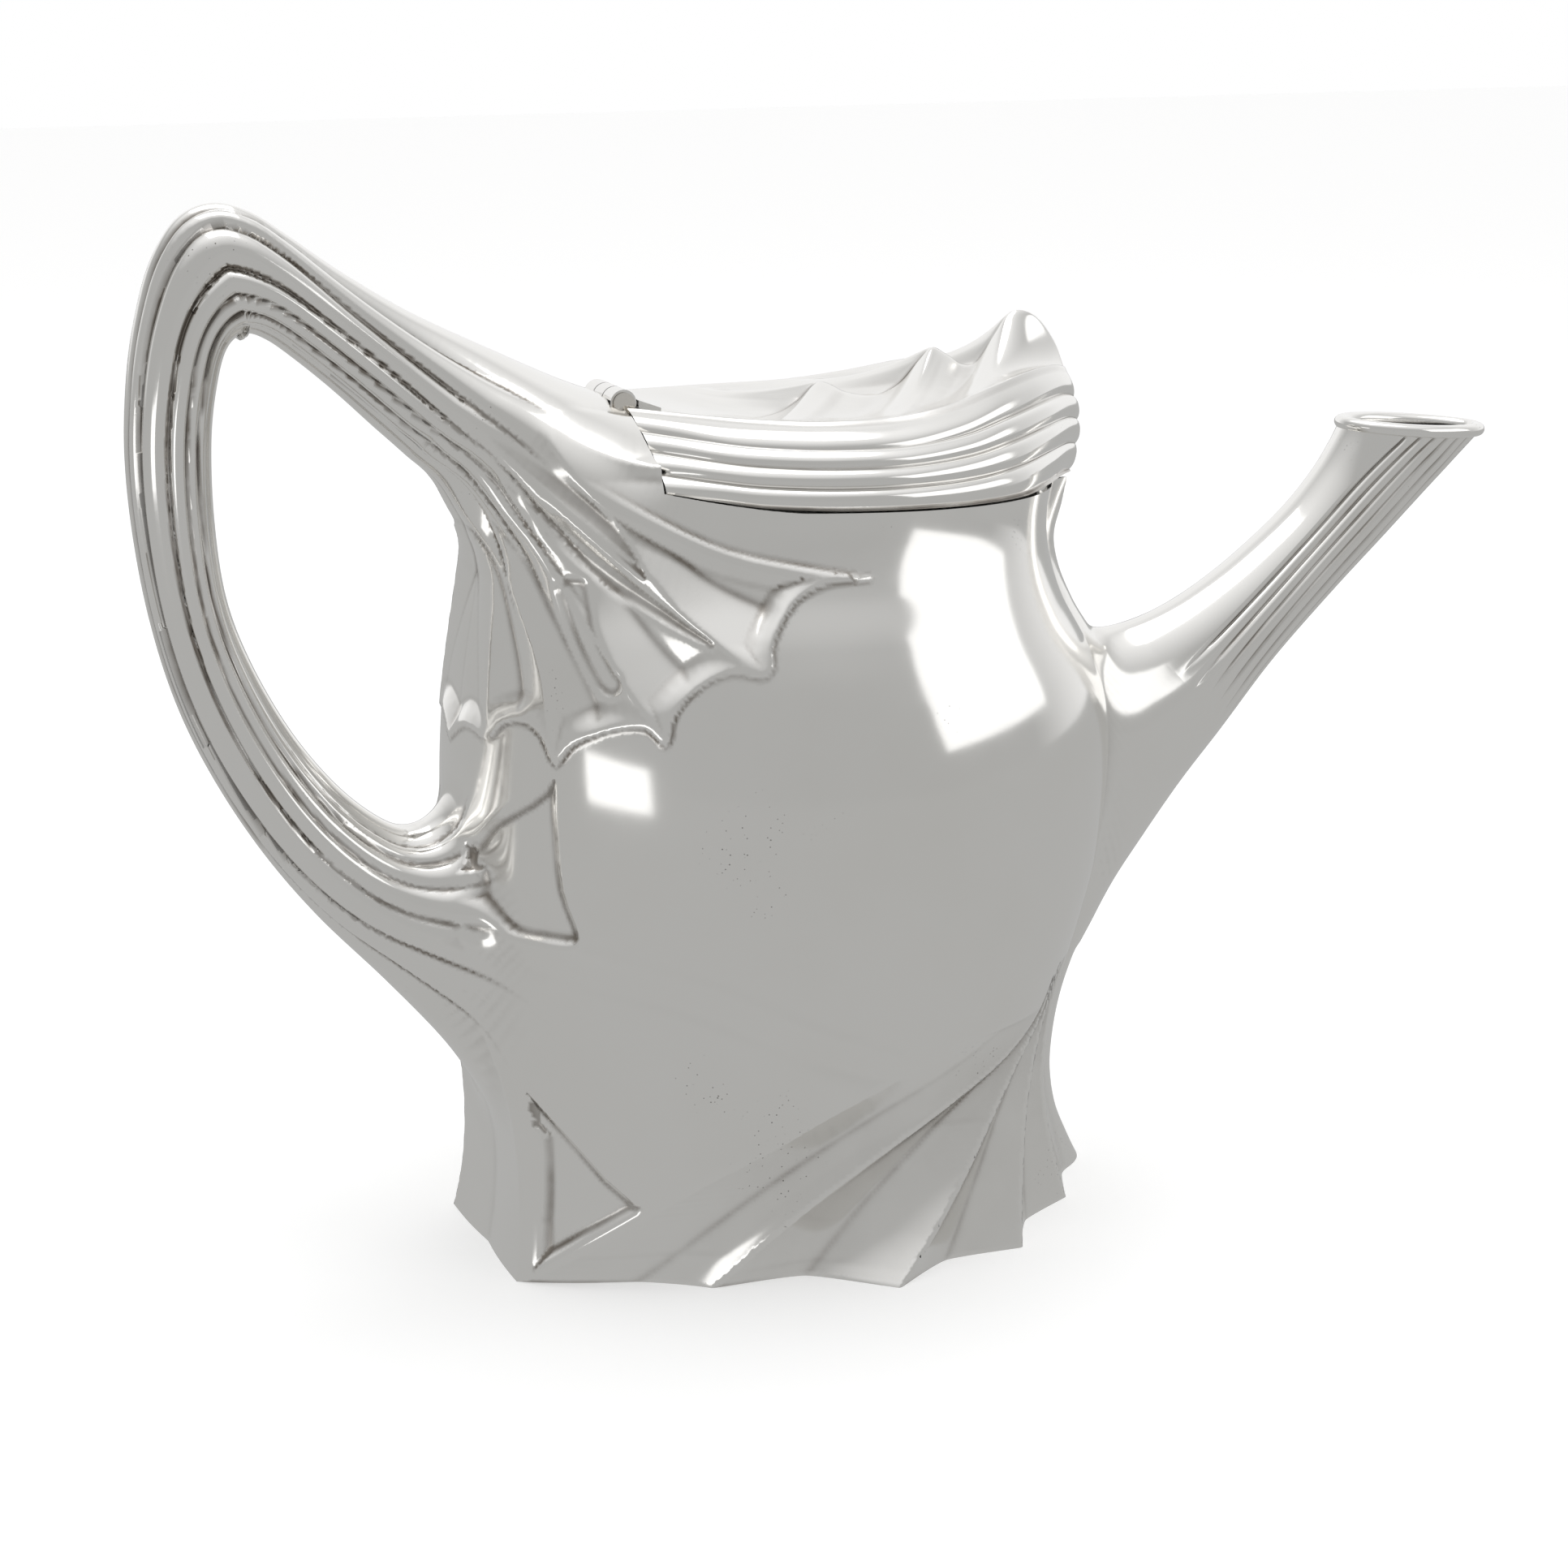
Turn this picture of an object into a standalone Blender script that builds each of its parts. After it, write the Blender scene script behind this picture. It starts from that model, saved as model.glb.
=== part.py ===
"""Silver teapot: a swelling vessel on a star-shaped foot, a long tapering spout, a tall loop
handle that grows out of the vessel's rear shoulder, and a hinged lid with a wave crest.

The frame: +X points along the spout, +Z is up, and the teapot is symmetric about the XZ plane.
The origin is on the table, under the middle of the bounding box. Lengths are in millimetres and
become metres where vertices are made.
"""

import math

import bmesh
import bpy
from mathutils import Matrix, Vector

MM = 0.001
SHARP_EDGE = 35.0       # degrees between two faces above which the edge is shaded sharp

# Driving dimensions, in millimetres.
GAP = 0.3               # clearance kept between neighbouring pieces
WALL = 1.5              # vessel wall
SHEET = 1.1             # wall of the spout, the handle shells and the lid
RING_POINTS = 44        # points round the vessel
HANDLE_POINTS = 20      # points round the handle
HORN_POINTS = 28        # points round the shoulder's horn
SPOUT_POINTS = 22       # points round the spout
OPENING_POINTS = 20     # points round the opening into the spout
BAND_POINTS = 40        # points round the bands in the mouth

MIDDLE_X = -12.0        # where the vessel is widest, seen from above
RIM_FRONT_Z = 141.0     # height of the rim at the front
RIM_SIDE_Z = 144.0      # height of the rim at the side
RIM_BACK_Z = 147.7      # height of the rim where it meets the seam
RIM_SIDE_X = -26.0
RIM_FRONT_X = 45.0
RIM_SWEEP = 1.3         # how the rim's climb towards the seam steepens
RIM_CLIMB_LIMIT = 1.4   # share of the climb at which the rim line stops rising
RIM_CURVE_X = (-44.0, -38.0, -32.0)
SEAM_X = -50.0          # plane of the seam between lid and shoulder
SEAM_HALF_GAP = 0.15

HINGE_X = -49.7
HINGE_Z = 160.5
KNUCKLE_RADIUS = 2.5
PIN_RADIUS = 1.35
PIN_CLEARANCE = 0.05
KNUCKLE_LENGTH = 4.6
KNUCKLE_GAP = 0.3
PIN_CAP_LENGTH = 0.7
PIN_CAP_RADIUS = 2.0
HINGE_ROOM_GAP = 0.4    # room round the barrel
HINGE_ROOM_END = 0.5    # room past each pin cap
HINGE_SEAT = [(-58.0, 155.2), (-43.0, 155.2), (-43.0, 175.0), (-58.0, 175.0)]
HINGE_SEAT_HALF_WIDTH = 9.0
LUG_OUTLINE = [(-57.0, 160.3), (-52.6, 160.3), (-52.6, 161.6), (-57.0, 163.2)]
LEAF_OUTLINE = [(-46.8, 158.6), (-42.5, 157.8), (-42.5, 159.3), (-46.8, 160.9)]

# The vessel's horizontal sections: height, back x, front x, half-width, and how round the front
# half is (2 is an ellipse, and a smaller number is more pointed).
VESSEL_SECTIONS = [
    (0.0, -70.0, 42.0, 43.0, 2.0),
    (12.0, -73.0, 41.0, 43.5, 2.0),
    (26.0, -77.0, 41.0, 45.5, 2.0),
    (40.0, -80.0, 43.0, 49.0, 2.0),
    (56.0, -81.5, 46.5, 52.5, 2.0),
    (72.0, -82.0, 49.5, 54.5, 2.0),
    (88.0, -82.0, 51.0, 55.5, 2.0),
    (101.0, -82.0, 50.0, 54.0, 2.0),
    (112.0, -81.0, 46.0, 50.5, 1.9),
    (122.0, -79.0, 41.0, 46.5, 1.8),
    (131.0, -78.0, 39.5, 42.5, 1.65),
    (139.0, -75.0, 42.0, 39.5, 1.5),
    (148.0, -66.0, 44.0, 38.0, 1.43),
]

VESSEL_HEIGHTS = [5.0, 12.0, 20.0, 28.0, 40.0, 56.0, 72.0, 88.0, 101.0, 112.0, 122.0, 131.0, 139.0]
VESSEL_TOP = 148.0      # the vessel's solid before the lid's space is cut away
VESSEL_OVERCUT = 0.3    # how far a hollow runs past the top of the solid it is cut from
TRIM_BOTTOM = 20.0      # heights of the vessel shape that trims the handle and the spout
TRIM_TOP = 147.0

# Space above the rim and in front of the seam: how far it runs forward, up and to each side.
LID_SPACE_X = 70.0
LID_SPACE_Z = 200.0
LID_SPACE_HALF_WIDTH = 60.0

# The foot's pointed tips on the near side and on the plane of symmetry, from front to back, and
# how far the arc between two tips bows in towards the middle of the teapot.
FOOT_TIPS = [(48.0, 0.0), (35.0, 23.0), (16.0, 41.5), (-13.0, 50.0), (-44.5, 37.0), (-76.0, 20.0)]
FOOT_ARC_BOWS = [2.0, 3.5, 4.5, 4.0, 4.0]
FOOT_BACK_BOW = 8.0
FOOT_RELIEF_Z = 34.0    # the foot's points have died away at this height
BOTTOM_Z = 28.0         # underside of the plate that closes the vessel above the hollow foot

# Upper shoulder behind the lid, a horn that leads into the handle: top (x, z), underside (x, z)
# and half-width of each section.
HORN_SPANS = [
    ((-44.0, 158.6), (-44.0, 137.0), 29.5),
    ((-52.0, 161.4), (-52.0, 135.0), 28.0),
    ((-59.0, 164.6), (-59.0, 134.0), 25.0),
    ((-66.0, 167.8), (-66.0, 134.0), 21.0),
    ((-73.0, 171.0), (-73.0, 136.0), 17.0),
    ((-79.7, 174.3), (-79.2, 142.2), 13.5),
]

# Handle: outer edge (x, z), inner edge (x, z) and half-width, from the shoulder round the loop
# to the root on the vessel's back.
HANDLE_SPANS = [
    ((-80.0, 174.5), (-79.5, 142.5), 13.5),
    ((-92.0, 181.0), (-86.0, 150.0), 11.5),
    ((-104.0, 189.0), (-97.0, 161.5), 10.0),
    ((-114.0, 196.0), (-106.0, 169.5), 9.3),
    ((-121.0, 198.0), (-113.0, 174.8), 9.0),
    ((-128.0, 194.5), (-118.0, 175.5), 8.8),
    ((-133.0, 186.0), (-120.6, 171.0), 8.6),
    ((-136.3, 172.0), (-122.4, 163.0), 8.3),
    ((-138.0, 155.0), (-123.0, 151.5), 8.0),
    ((-137.0, 138.0), (-122.8, 139.5), 8.0),
    ((-134.0, 120.0), (-120.5, 125.5), 8.0),
    ((-128.5, 104.0), (-116.0, 113.0), 8.2),
    ((-121.0, 89.0), (-110.0, 103.0), 8.6),
    ((-112.0, 75.0), (-102.0, 92.5), 9.2),
    ((-101.0, 61.0), (-94.0, 86.0), 10.5),
    ((-90.0, 48.0), (-86.0, 84.5), 13.0),
    ((-72.0, 36.0), (-72.0, 88.0), 17.0),
]

HANDLE_SQUARENESS = 2.15
HANDLE_END_SHIFT = 2.0  # how far the hollow's ends are moved towards the vessel

# Spout: underside (x, z), upper side (x, z) and half-width, from inside the vessel to the mouth.
SPOUT_SPANS = [
    ((41.0, 46.0), (41.0, 110.0), 15.5),
    ((54.0, 56.0), (54.0, 109.2), 14.0),
    ((63.0, 68.0), (60.0, 110.0), 12.0),
    ((73.0, 81.0), (69.0, 113.0), 10.6),
    ((84.0, 93.0), (78.0, 118.0), 9.7),
    ((96.0, 106.0), (86.0, 124.0), 9.1),
    ((109.0, 118.0), (94.5, 131.0), 8.8),
    ((121.0, 128.5), (101.0, 138.0), 8.8),
    ((131.0, 137.5), (103.8, 143.2), 9.2),
    ((136.0, 141.7), (105.0, 144.6), 9.7),
]
LIP_FRONT = (136.6, 142.9)
LIP_BACK = (105.4, 145.9)
LIP_RADIUS = 1.05
LIP_HALF_WIDTH = 9.2
LIP_POINTS = 36
LIP_BEVEL_STEPS = 2     # how finely the wire's round section is divided

STRAINER_Z = 86.0
STRAINER_HOLE = 2.4     # diameter of one hole
STRAINER_PITCH = 4.2
STRAINER_ROWS = 7
STRAINER_COLUMNS = 5
STRAINER_THICKNESS = 0.9
STRAINER_MARGIN = 2.5   # how far the plate overlaps the opening's edge
STRAINER_SPAN_Z = (66.0, 106.0)
STRAINER_HOLLOW_SPAN_Z = (60.0, 112.0)
STRAINER_X = 48.0
DRILL_LENGTH = 30.0
DRILL_SIDES = 8
DRILLED_SHARE = 0.97    # share of the opening's oval that is pierced
OPENING_HALF_WIDTH = 9.0
OPENING_HALF_HEIGHT = 15.0
OPENING_SPAN_X = (30.0, 70.0)

# Bands in the mouth: width, then lower and upper edge above the rim line.
BEZEL = (2.2, -5.0, -3.4)
FLANGE = (0.8, -2.4, 1.4)
BEZEL_BACK_X = -48.5
FLANGE_BACK_X = -46.5
FLANGE_INSET = 1.4      # how far the lid's flange stands inside the bezel's outer edge
RIM_READ_RADIUS = 50.0  # distance from the middle at which the rim's height is read

# Lid: stations along x with the height of its broad shoulder and of its central crest.
LID_STATIONS = [
    (-49.85, 158.8, 158.8),
    (-44.0, 158.3, 158.6),
    (-36.0, 157.4, 156.6),
    (-27.0, 156.8, 155.2),
    (-18.0, 156.6, 155.6),
    (-12.0, 156.6, 158.6),
    (-8.0, 156.9, 161.0),
    (-3.0, 157.2, 158.6),
    (4.0, 157.8, 158.4),
    (9.0, 158.6, 161.2),
    (14.0, 159.5, 166.0),
    (18.5, 160.0, 163.0),
    (23.0, 160.3, 162.6),
    (28.0, 160.8, 168.6),
    (32.0, 161.0, 172.2),
    (36.0, 161.0, 171.0),
    (40.0, 160.5, 166.0),
    (43.0, 158.0, 159.5),
    (45.6, 152.0, 154.0),
]
LID_ARCH = [(1.0, 0.0), (0.985, 0.3), (0.93, 0.6), (0.82, 0.85), (0.64, 0.98), (0.42, 1.0)]
LID_PLAN_Z = 147.0      # height of the vessel's section that gives the lid's width
LID_FRONT_X = 46.3
LID_FRONT_POWER = 1.5
LID_BACK_REACH = 56.0
LID_LEAST_WIDTH = 0.8
LID_HOLLOW_DROP = 2.0   # how far the lid's hollow runs past its lower edge
LID_CREST_WALL = 2.2
LID_HOLLOW_INSET = 1.3
LID_BACK_WALL = 1.6
LID_HINGE_BLOCK = 2.6   # extra metal under the lid's hinge leaf
LID_HINGE_BLOCK_X = -43.0
CREST_FLANK = 3.2       # half-width of the crest's foot, or this share of the lid's half-width
CREST_FLANK_SHARE = 0.2
CREST_VALLEY = 1.2      # depth of the valley beside the crest
CREST_MIDDLE = 1.3
CREST_MIDDLE_SHARE = 0.45

SILVER = (0.70, 0.70, 0.69, 1.0)
DARK_SILVER = (0.45, 0.44, 0.42, 1.0)
INSIDE_SILVER = (0.60, 0.59, 0.57, 1.0)


def clear_scene():
    """Remove every object, so that the script can be run again."""
    for obj in list(bpy.data.objects):
        bpy.data.objects.remove(obj, do_unlink=True)


def new_collection(name):
    collection = bpy.data.collections.new(name)
    bpy.context.scene.collection.children.link(collection)
    return collection


def metal(name, colour, roughness):
    material = bpy.data.materials.new(name)
    material.use_nodes = True
    shader = material.node_tree.nodes["Principled BSDF"]
    shader.inputs["Base Color"].default_value = colour
    shader.inputs["Metallic"].default_value = 1.0
    shader.inputs["Roughness"].default_value = roughness
    return material


def between(table, at):
    """Read a table of (position, value, value, ...) rows at a position."""
    rows = sorted(table)
    if at <= rows[0][0]:
        return rows[0][1:]
    for low, high in zip(rows, rows[1:]):
        if at <= high[0]:
            share = (at - low[0]) / (high[0] - low[0])
            return tuple(a + share * (b - a) for a, b in zip(low[1:], high[1:]))
    return rows[-1][1:]


def smooth_step(value):
    value = min(max(value, 0.0), 1.0)
    return value * value * (3.0 - 2.0 * value)


def rim_height(x):
    """Height of the seam between vessel and lid, which climbs towards the handle."""
    if x < RIM_SIDE_X:
        share = (RIM_SIDE_X - x) / (RIM_SIDE_X - SEAM_X)
        return RIM_SIDE_Z + (RIM_BACK_Z - RIM_SIDE_Z) * min(share, RIM_CLIMB_LIMIT) ** RIM_SWEEP
    share = (x - RIM_SIDE_X) / (RIM_FRONT_X - RIM_SIDE_X)
    return RIM_SIDE_Z + (RIM_FRONT_Z - RIM_SIDE_Z) * share


# ---------------------------------------------------------------- building meshes

def mesh_object(name, mesh, collection, material):
    obj = bpy.data.objects.new(name, mesh)
    collection.objects.link(obj)
    if material:
        mesh.materials.append(material)
        mesh.shade_smooth()
        mesh.set_sharp_from_angle(angle=math.radians(SHARP_EDGE))
    return obj


def make_cutter(obj):
    """A cutter shapes other pieces and isn't one itself."""
    obj.hide_render = True
    obj.display_type = "WIRE"
    return obj


def loft(name, rings, collection, material, caps=True):
    """Skin a row of rings with the same number of points each, given in millimetres."""
    build = bmesh.new()
    rows = [[build.verts.new(Vector(point) * MM) for point in ring] for ring in rings]
    count = len(rings[0])
    for row, following in zip(rows, rows[1:]):
        for i in range(count):
            j = (i + 1) % count
            build.faces.new((row[i], row[j], following[j], following[i]))
    if caps:
        build.faces.new(list(reversed(rows[0])))
        build.faces.new(rows[-1])
        bmesh.ops.recalc_face_normals(build, faces=build.faces)
    else:
        face_outwards(build, rows)
    mesh = bpy.data.meshes.new(name)
    build.to_mesh(mesh)
    build.free()
    return mesh_object(name, mesh, collection, material)


def face_outwards(build, rows):
    """Turn an open skin so that its normals point away from its rings' centres."""
    build.normal_update()
    outward = 0.0
    index = 0
    build.faces.ensure_lookup_table()
    faces_per_row = len(build.faces) // (len(rows) - 1)
    for row in rows[:-1]:
        centre = sum((vert.co for vert in row), Vector()) / len(row)
        for face in build.faces[index:index + faces_per_row]:
            outward += (face.calc_center_median() - centre).dot(face.normal) * face.calc_area()
        index += faces_per_row
    if outward < 0.0:
        bmesh.ops.reverse_faces(build, faces=build.faces)


def add_boolean(obj, cutter, operation):
    modifier = obj.modifiers.new(cutter.name, "BOOLEAN")
    modifier.operation = operation
    modifier.solver = "EXACT"
    modifier.object = cutter


def add_solidify(obj, thickness):
    """Thicken an open skin inwards."""
    modifier = obj.modifiers.new("wall", "SOLIDIFY")
    modifier.thickness = thickness * MM
    modifier.offset = -1.0
    modifier.use_even_offset = True


def outline_solid(name, outline, half_width, collection, material):
    """Extrude a flat outline of (x, z) points across the teapot, from -half_width to +half_width."""
    curve = bpy.data.curves.new(name + "_outline", "CURVE")
    curve.dimensions = "2D"
    curve.fill_mode = "BOTH"
    curve.extrude = half_width * MM
    spline = curve.splines.new("POLY")
    spline.points.add(len(outline) - 1)
    for point, (x, z) in zip(spline.points, outline):
        point.co = (x * MM, z * MM, 0.0, 1.0)
    spline.use_cyclic_u = True
    source = bpy.data.objects.new(name + "_curve", curve)
    collection.objects.link(source)
    source.rotation_euler = (math.radians(90.0), 0.0, 0.0)
    bpy.context.view_layer.update()
    graph = bpy.context.evaluated_depsgraph_get()
    mesh = bpy.data.meshes.new_from_object(source.evaluated_get(graph))
    mesh.transform(source.matrix_world)
    weld = bmesh.new()
    weld.from_mesh(mesh)
    bmesh.ops.remove_doubles(weld, verts=weld.verts, dist=1e-6)
    bmesh.ops.recalc_face_normals(weld, faces=weld.faces)
    weld.to_mesh(mesh)
    weld.free()
    bpy.data.objects.remove(source, do_unlink=True)
    return mesh_object(name, mesh, collection, material)


def turned_tube(name, outer, inner, half_length, centre, collection, material, steps=24):
    """A tube turned about the hinge's direction, with its origin at its centre."""
    mesh = bpy.data.meshes.new(name)
    corners = [(outer, half_length), (outer, -half_length)]
    if inner > 0.0:
        corners += [(inner, -half_length), (inner, half_length)]
        edges = [(0, 1), (1, 2), (2, 3), (3, 0)]
    else:
        corners = [(0.0, half_length)] + corners + [(0.0, -half_length)]
        edges = [(0, 1), (1, 2), (2, 3)]
    mesh.from_pydata([(radius * MM, 0.0, z * MM) for radius, z in corners], edges, [])
    obj = mesh_object(name, mesh, collection, None)
    screw = obj.modifiers.new("turn", "SCREW")
    screw.steps = steps
    screw.render_steps = steps
    screw.use_merge_vertices = True
    screw.merge_threshold = 0.00001
    mesh.materials.append(material)
    obj.rotation_euler = (math.radians(-90.0), 0.0, 0.0)
    obj.location = Vector(centre) * MM
    return obj


# ---------------------------------------------------------------- sections

def polar_section(angle, back, front, half_width, power):
    """Point of a horizontal section in the direction of an angle, seen from the widest place."""
    along = math.cos(angle)
    across = math.sin(angle)
    if along >= 0.0:
        reach = front - MIDDLE_X
    else:
        reach = MIDDLE_X - back
        power = 2.0
    radius = (abs(along / reach) ** power + abs(across / half_width) ** power) ** (-1.0 / power)
    return MIDDLE_X + radius * along, radius * across


def arc_between(start, end, bow, count):
    """Points from start towards end on an arc that bows towards the widest place's centre."""
    middle = ((start[0] + end[0]) / 2.0, (start[1] + end[1]) / 2.0)
    inwards = Vector((MIDDLE_X - middle[0], -middle[1])).normalized()
    points = []
    for i in range(count):
        share = i / count
        depth = bow * 4.0 * share * (1.0 - share)
        x = start[0] + share * (end[0] - start[0]) + inwards.x * depth
        y = start[1] + share * (end[1] - start[1]) + inwards.y * depth
        points.append((x, y))
    return points


def foot_outline():
    """The foot's pointed outline on the table: eleven tips joined by inward arcs."""
    steps = RING_POINTS // (2 * len(FOOT_TIPS) - 1)
    half = []
    for start, end, bow in zip(FOOT_TIPS, FOOT_TIPS[1:], FOOT_ARC_BOWS):
        half += arc_between(start, end, bow, steps)
    back_tip = FOOT_TIPS[-1]
    across = arc_between(back_tip, (back_tip[0], -back_tip[1]), FOOT_BACK_BOW, steps)
    other = [(x, -y) for x, y in reversed(half[1:] + [back_tip])]
    return half + across + other


def vessel_ring(z, grow):
    """The vessel's section at a height, moved out by grow millimetres."""
    outline = foot_outline()
    back, front, half_width, power = between(VESSEL_SECTIONS, z)
    star = 1.0 - smooth_step(z / FOOT_RELIEF_Z)
    points = []
    for x, y in outline:
        angle = math.atan2(y, x - MIDDLE_X)
        smooth_x, smooth_y = polar_section(angle, back - grow, front + grow, half_width + grow, power)
        reach = math.hypot(x - MIDDLE_X, y)
        star_x = x + (x - MIDDLE_X) / reach * grow
        star_y = y + y / reach * grow
        points.append((
            smooth_x + star * (star_x - smooth_x),
            smooth_y + star * (star_y - smooth_y),
            z,
        ))
    return points


def vessel_solid(name, grow, bottom, top, collection):
    heights = [bottom] + [z for z in VESSEL_HEIGHTS if bottom < z < top] + [top]
    rings = [vessel_ring(z, grow) for z in heights]
    return make_cutter(loft(name, rings, collection, None))


def span_ring(first, second, half_width, count, grow=0.0, squareness=2.0):
    """An upright oval between two points of the plane of symmetry."""
    start = Vector((first[0], 0.0, first[1]))
    end = Vector((second[0], 0.0, second[1]))
    centre = (start + end) / 2.0
    reach = (start - end).length / 2.0
    direction = (start - end).normalized()
    points = []
    for i in range(count):
        angle = 2.0 * math.pi * i / count
        along = math.copysign(abs(math.cos(angle)) ** (2.0 / squareness), math.cos(angle))
        across = math.copysign(abs(math.sin(angle)) ** (2.0 / squareness), math.sin(angle))
        point = centre + direction * (reach + grow) * along
        point.y = (half_width + grow) * across
        points.append(point)
    return points


def horn_solid(name, grow, collection):
    """The shoulder's horn, moved out by grow millimetres, its end at the handle included."""
    rings = [span_ring(top, under, width, HORN_POINTS, grow) for top, under, width in HORN_SPANS]
    rings[-1] = [point - Vector((grow, 0.0, 0.0)) for point in rings[-1]]
    return make_cutter(loft(name, rings, collection, None))


# ---------------------------------------------------------------- vessel and base

def lid_space(cutters):
    """Everything above the rim and in front of the seam, which belongs to the lid."""
    outline = [(SEAM_X - SEAM_HALF_GAP, LID_SPACE_Z)]
    outline += [(x, rim_height(x)) for x in (SEAM_X - SEAM_HALF_GAP, *RIM_CURVE_X)]
    outline += [(RIM_SIDE_X, RIM_SIDE_Z), (LID_SPACE_X, rim_height(LID_SPACE_X))]
    outline += [(LID_SPACE_X, LID_SPACE_Z)]
    return make_cutter(outline_solid("lid_space", outline, LID_SPACE_HALF_WIDTH, cutters, None))


def hinge_clearance(cutters):
    """Room for the hinge barrel in the shoulder and in the lid."""
    half_length = 1.5 * KNUCKLE_LENGTH + KNUCKLE_GAP + PIN_CAP_LENGTH + HINGE_ROOM_END
    radius = KNUCKLE_RADIUS + HINGE_ROOM_GAP
    centre = (HINGE_X, 0.0, HINGE_Z)
    return make_cutter(turned_tube("hinge_room", radius, 0.0, half_length, centre, cutters, None))


def build_vessel(parts, cutters, material):
    outside = vessel_solid("vessel_outside", 0.0, 0.0, VESSEL_TOP, cutters)
    horn_outside = horn_solid("horn_outside", 0.0, cutters)
    inside = vessel_solid("vessel_inside", -WALL, -1.0, VESSEL_TOP + VESSEL_OVERCUT, cutters)
    horn_inside = horn_solid("horn_inside", -WALL, cutters)
    add_boolean(inside, horn_inside, "UNION")
    seat = make_cutter(outline_solid(
        "hinge_seat_keep", HINGE_SEAT, HINGE_SEAT_HALF_WIDTH, cutters, None))
    add_boolean(inside, seat, "DIFFERENCE")

    body = outside
    body.name = "vessel_body"
    body.hide_render = False
    body.display_type = "TEXTURED"
    cutters.objects.unlink(body)
    parts.objects.link(body)
    body.data.materials.append(material)
    add_boolean(body, horn_outside, "UNION")
    add_boolean(body, inside, "DIFFERENCE")
    add_boolean(body, lid_space(cutters), "DIFFERENCE")
    add_boolean(body, hinge_clearance(cutters), "DIFFERENCE")
    add_boolean(body, body_lug_room(cutters), "DIFFERENCE")
    add_boolean(body, front_oval("spout_opening", 0.0, cutters), "DIFFERENCE")
    return body


def front_oval(name, margin, cutters):
    """An oval bar along x through the vessel's front, as wide as the opening plus a margin."""
    top = (0.0, STRAINER_Z + OPENING_HALF_HEIGHT + margin)
    under = (0.0, STRAINER_Z - OPENING_HALF_HEIGHT - margin)
    oval = span_ring(top, under, OPENING_HALF_WIDTH + margin, OPENING_POINTS)
    rings = [[point + Vector((x, 0.0, 0.0)) for point in oval] for x in OPENING_SPAN_X]
    return make_cutter(loft(name, rings, cutters, None))


def build_bottom_plate(parts, material):
    """Dished plate that closes the vessel above the hollow foot."""
    rings = [vessel_ring(z, -WALL - 2.0 * GAP) for z in (BOTTOM_Z, BOTTOM_Z + WALL)]
    loft("bottom_plate", rings, parts, material)


def mouth_plan(inset, low, high, back_x):
    """Plan of a D-shaped loop that clears the mouth's wall from its low to its high edge."""
    plan = []
    for i in range(BAND_POINTS):
        angle = math.pi * (2.0 * i / BAND_POINTS - 1.0)
        rim = rim_height(MIDDLE_X + RIM_READ_RADIUS * math.cos(angle))
        places = []
        for z in (rim + low, rim + high):
            back, front, half_width, power = between(VESSEL_SECTIONS, z)
            places.append(polar_section(angle, back + inset, front - inset, half_width - inset, power))
        x, y = min(places, key=lambda place: math.hypot(place[0] - MIDDLE_X, place[1]))
        plan.append((max(x, back_x), y))
    return plan


def d_band(name, inset, width, low, high, back_x, parts, material):
    """A closed D-shaped band of rectangular section that follows the rim."""
    outer = mouth_plan(inset, low, high, back_x)
    inner = mouth_plan(inset + width, low, high, back_x + width)
    build = bmesh.new()
    rows = []
    for (outer_x, outer_y), (inner_x, inner_y) in zip(outer, inner):
        corners = [
            (outer_x, outer_y, rim_height(outer_x) + low),
            (outer_x, outer_y, rim_height(outer_x) + high),
            (inner_x, inner_y, rim_height(inner_x) + high),
            (inner_x, inner_y, rim_height(inner_x) + low),
        ]
        rows.append([build.verts.new(Vector(corner) * MM) for corner in corners])
    for row, following in zip(rows, rows[1:] + rows[:1]):
        for i in range(4):
            j = (i + 1) % 4
            build.faces.new((row[i], row[j], following[j], following[i]))
    bmesh.ops.recalc_face_normals(build, faces=build.faces)
    mesh = bpy.data.meshes.new(name)
    build.to_mesh(mesh)
    build.free()
    return mesh_object(name, mesh, parts, material)


# ---------------------------------------------------------------- spout

def build_spout(parts, cutters, material):
    rings = [span_ring(upper, under, width, SPOUT_POINTS) for under, upper, width in SPOUT_SPANS]
    spout = loft("spout", rings, parts, material, caps=False)
    add_solidify(spout, SHEET)
    add_boolean(spout, vessel_solid("spout_trim", GAP, TRIM_BOTTOM, TRIM_TOP, cutters), "DIFFERENCE")
    return spout


def build_spout_lip(parts, material):
    """Rolled wire round the spout's mouth."""
    front = Vector((LIP_FRONT[0], 0.0, LIP_FRONT[1])) * MM
    back = Vector((LIP_BACK[0], 0.0, LIP_BACK[1])) * MM
    curve = bpy.data.curves.new("spout_lip", "CURVE")
    curve.dimensions = "3D"
    curve.bevel_depth = LIP_RADIUS * MM
    curve.bevel_resolution = LIP_BEVEL_STEPS
    spline = curve.splines.new("POLY")
    spline.points.add(LIP_POINTS - 1)
    for i, point in enumerate(spline.points):
        angle = 2.0 * math.pi * i / LIP_POINTS
        place = (front + back) / 2.0 + (front - back) / 2.0 * math.cos(angle)
        point.co = (place.x, LIP_HALF_WIDTH * MM * math.sin(angle), place.z, 1.0)
    spline.use_cyclic_u = True
    obj = bpy.data.objects.new("spout_lip", curve)
    curve.materials.append(material)
    parts.objects.link(obj)
    return obj


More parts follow.
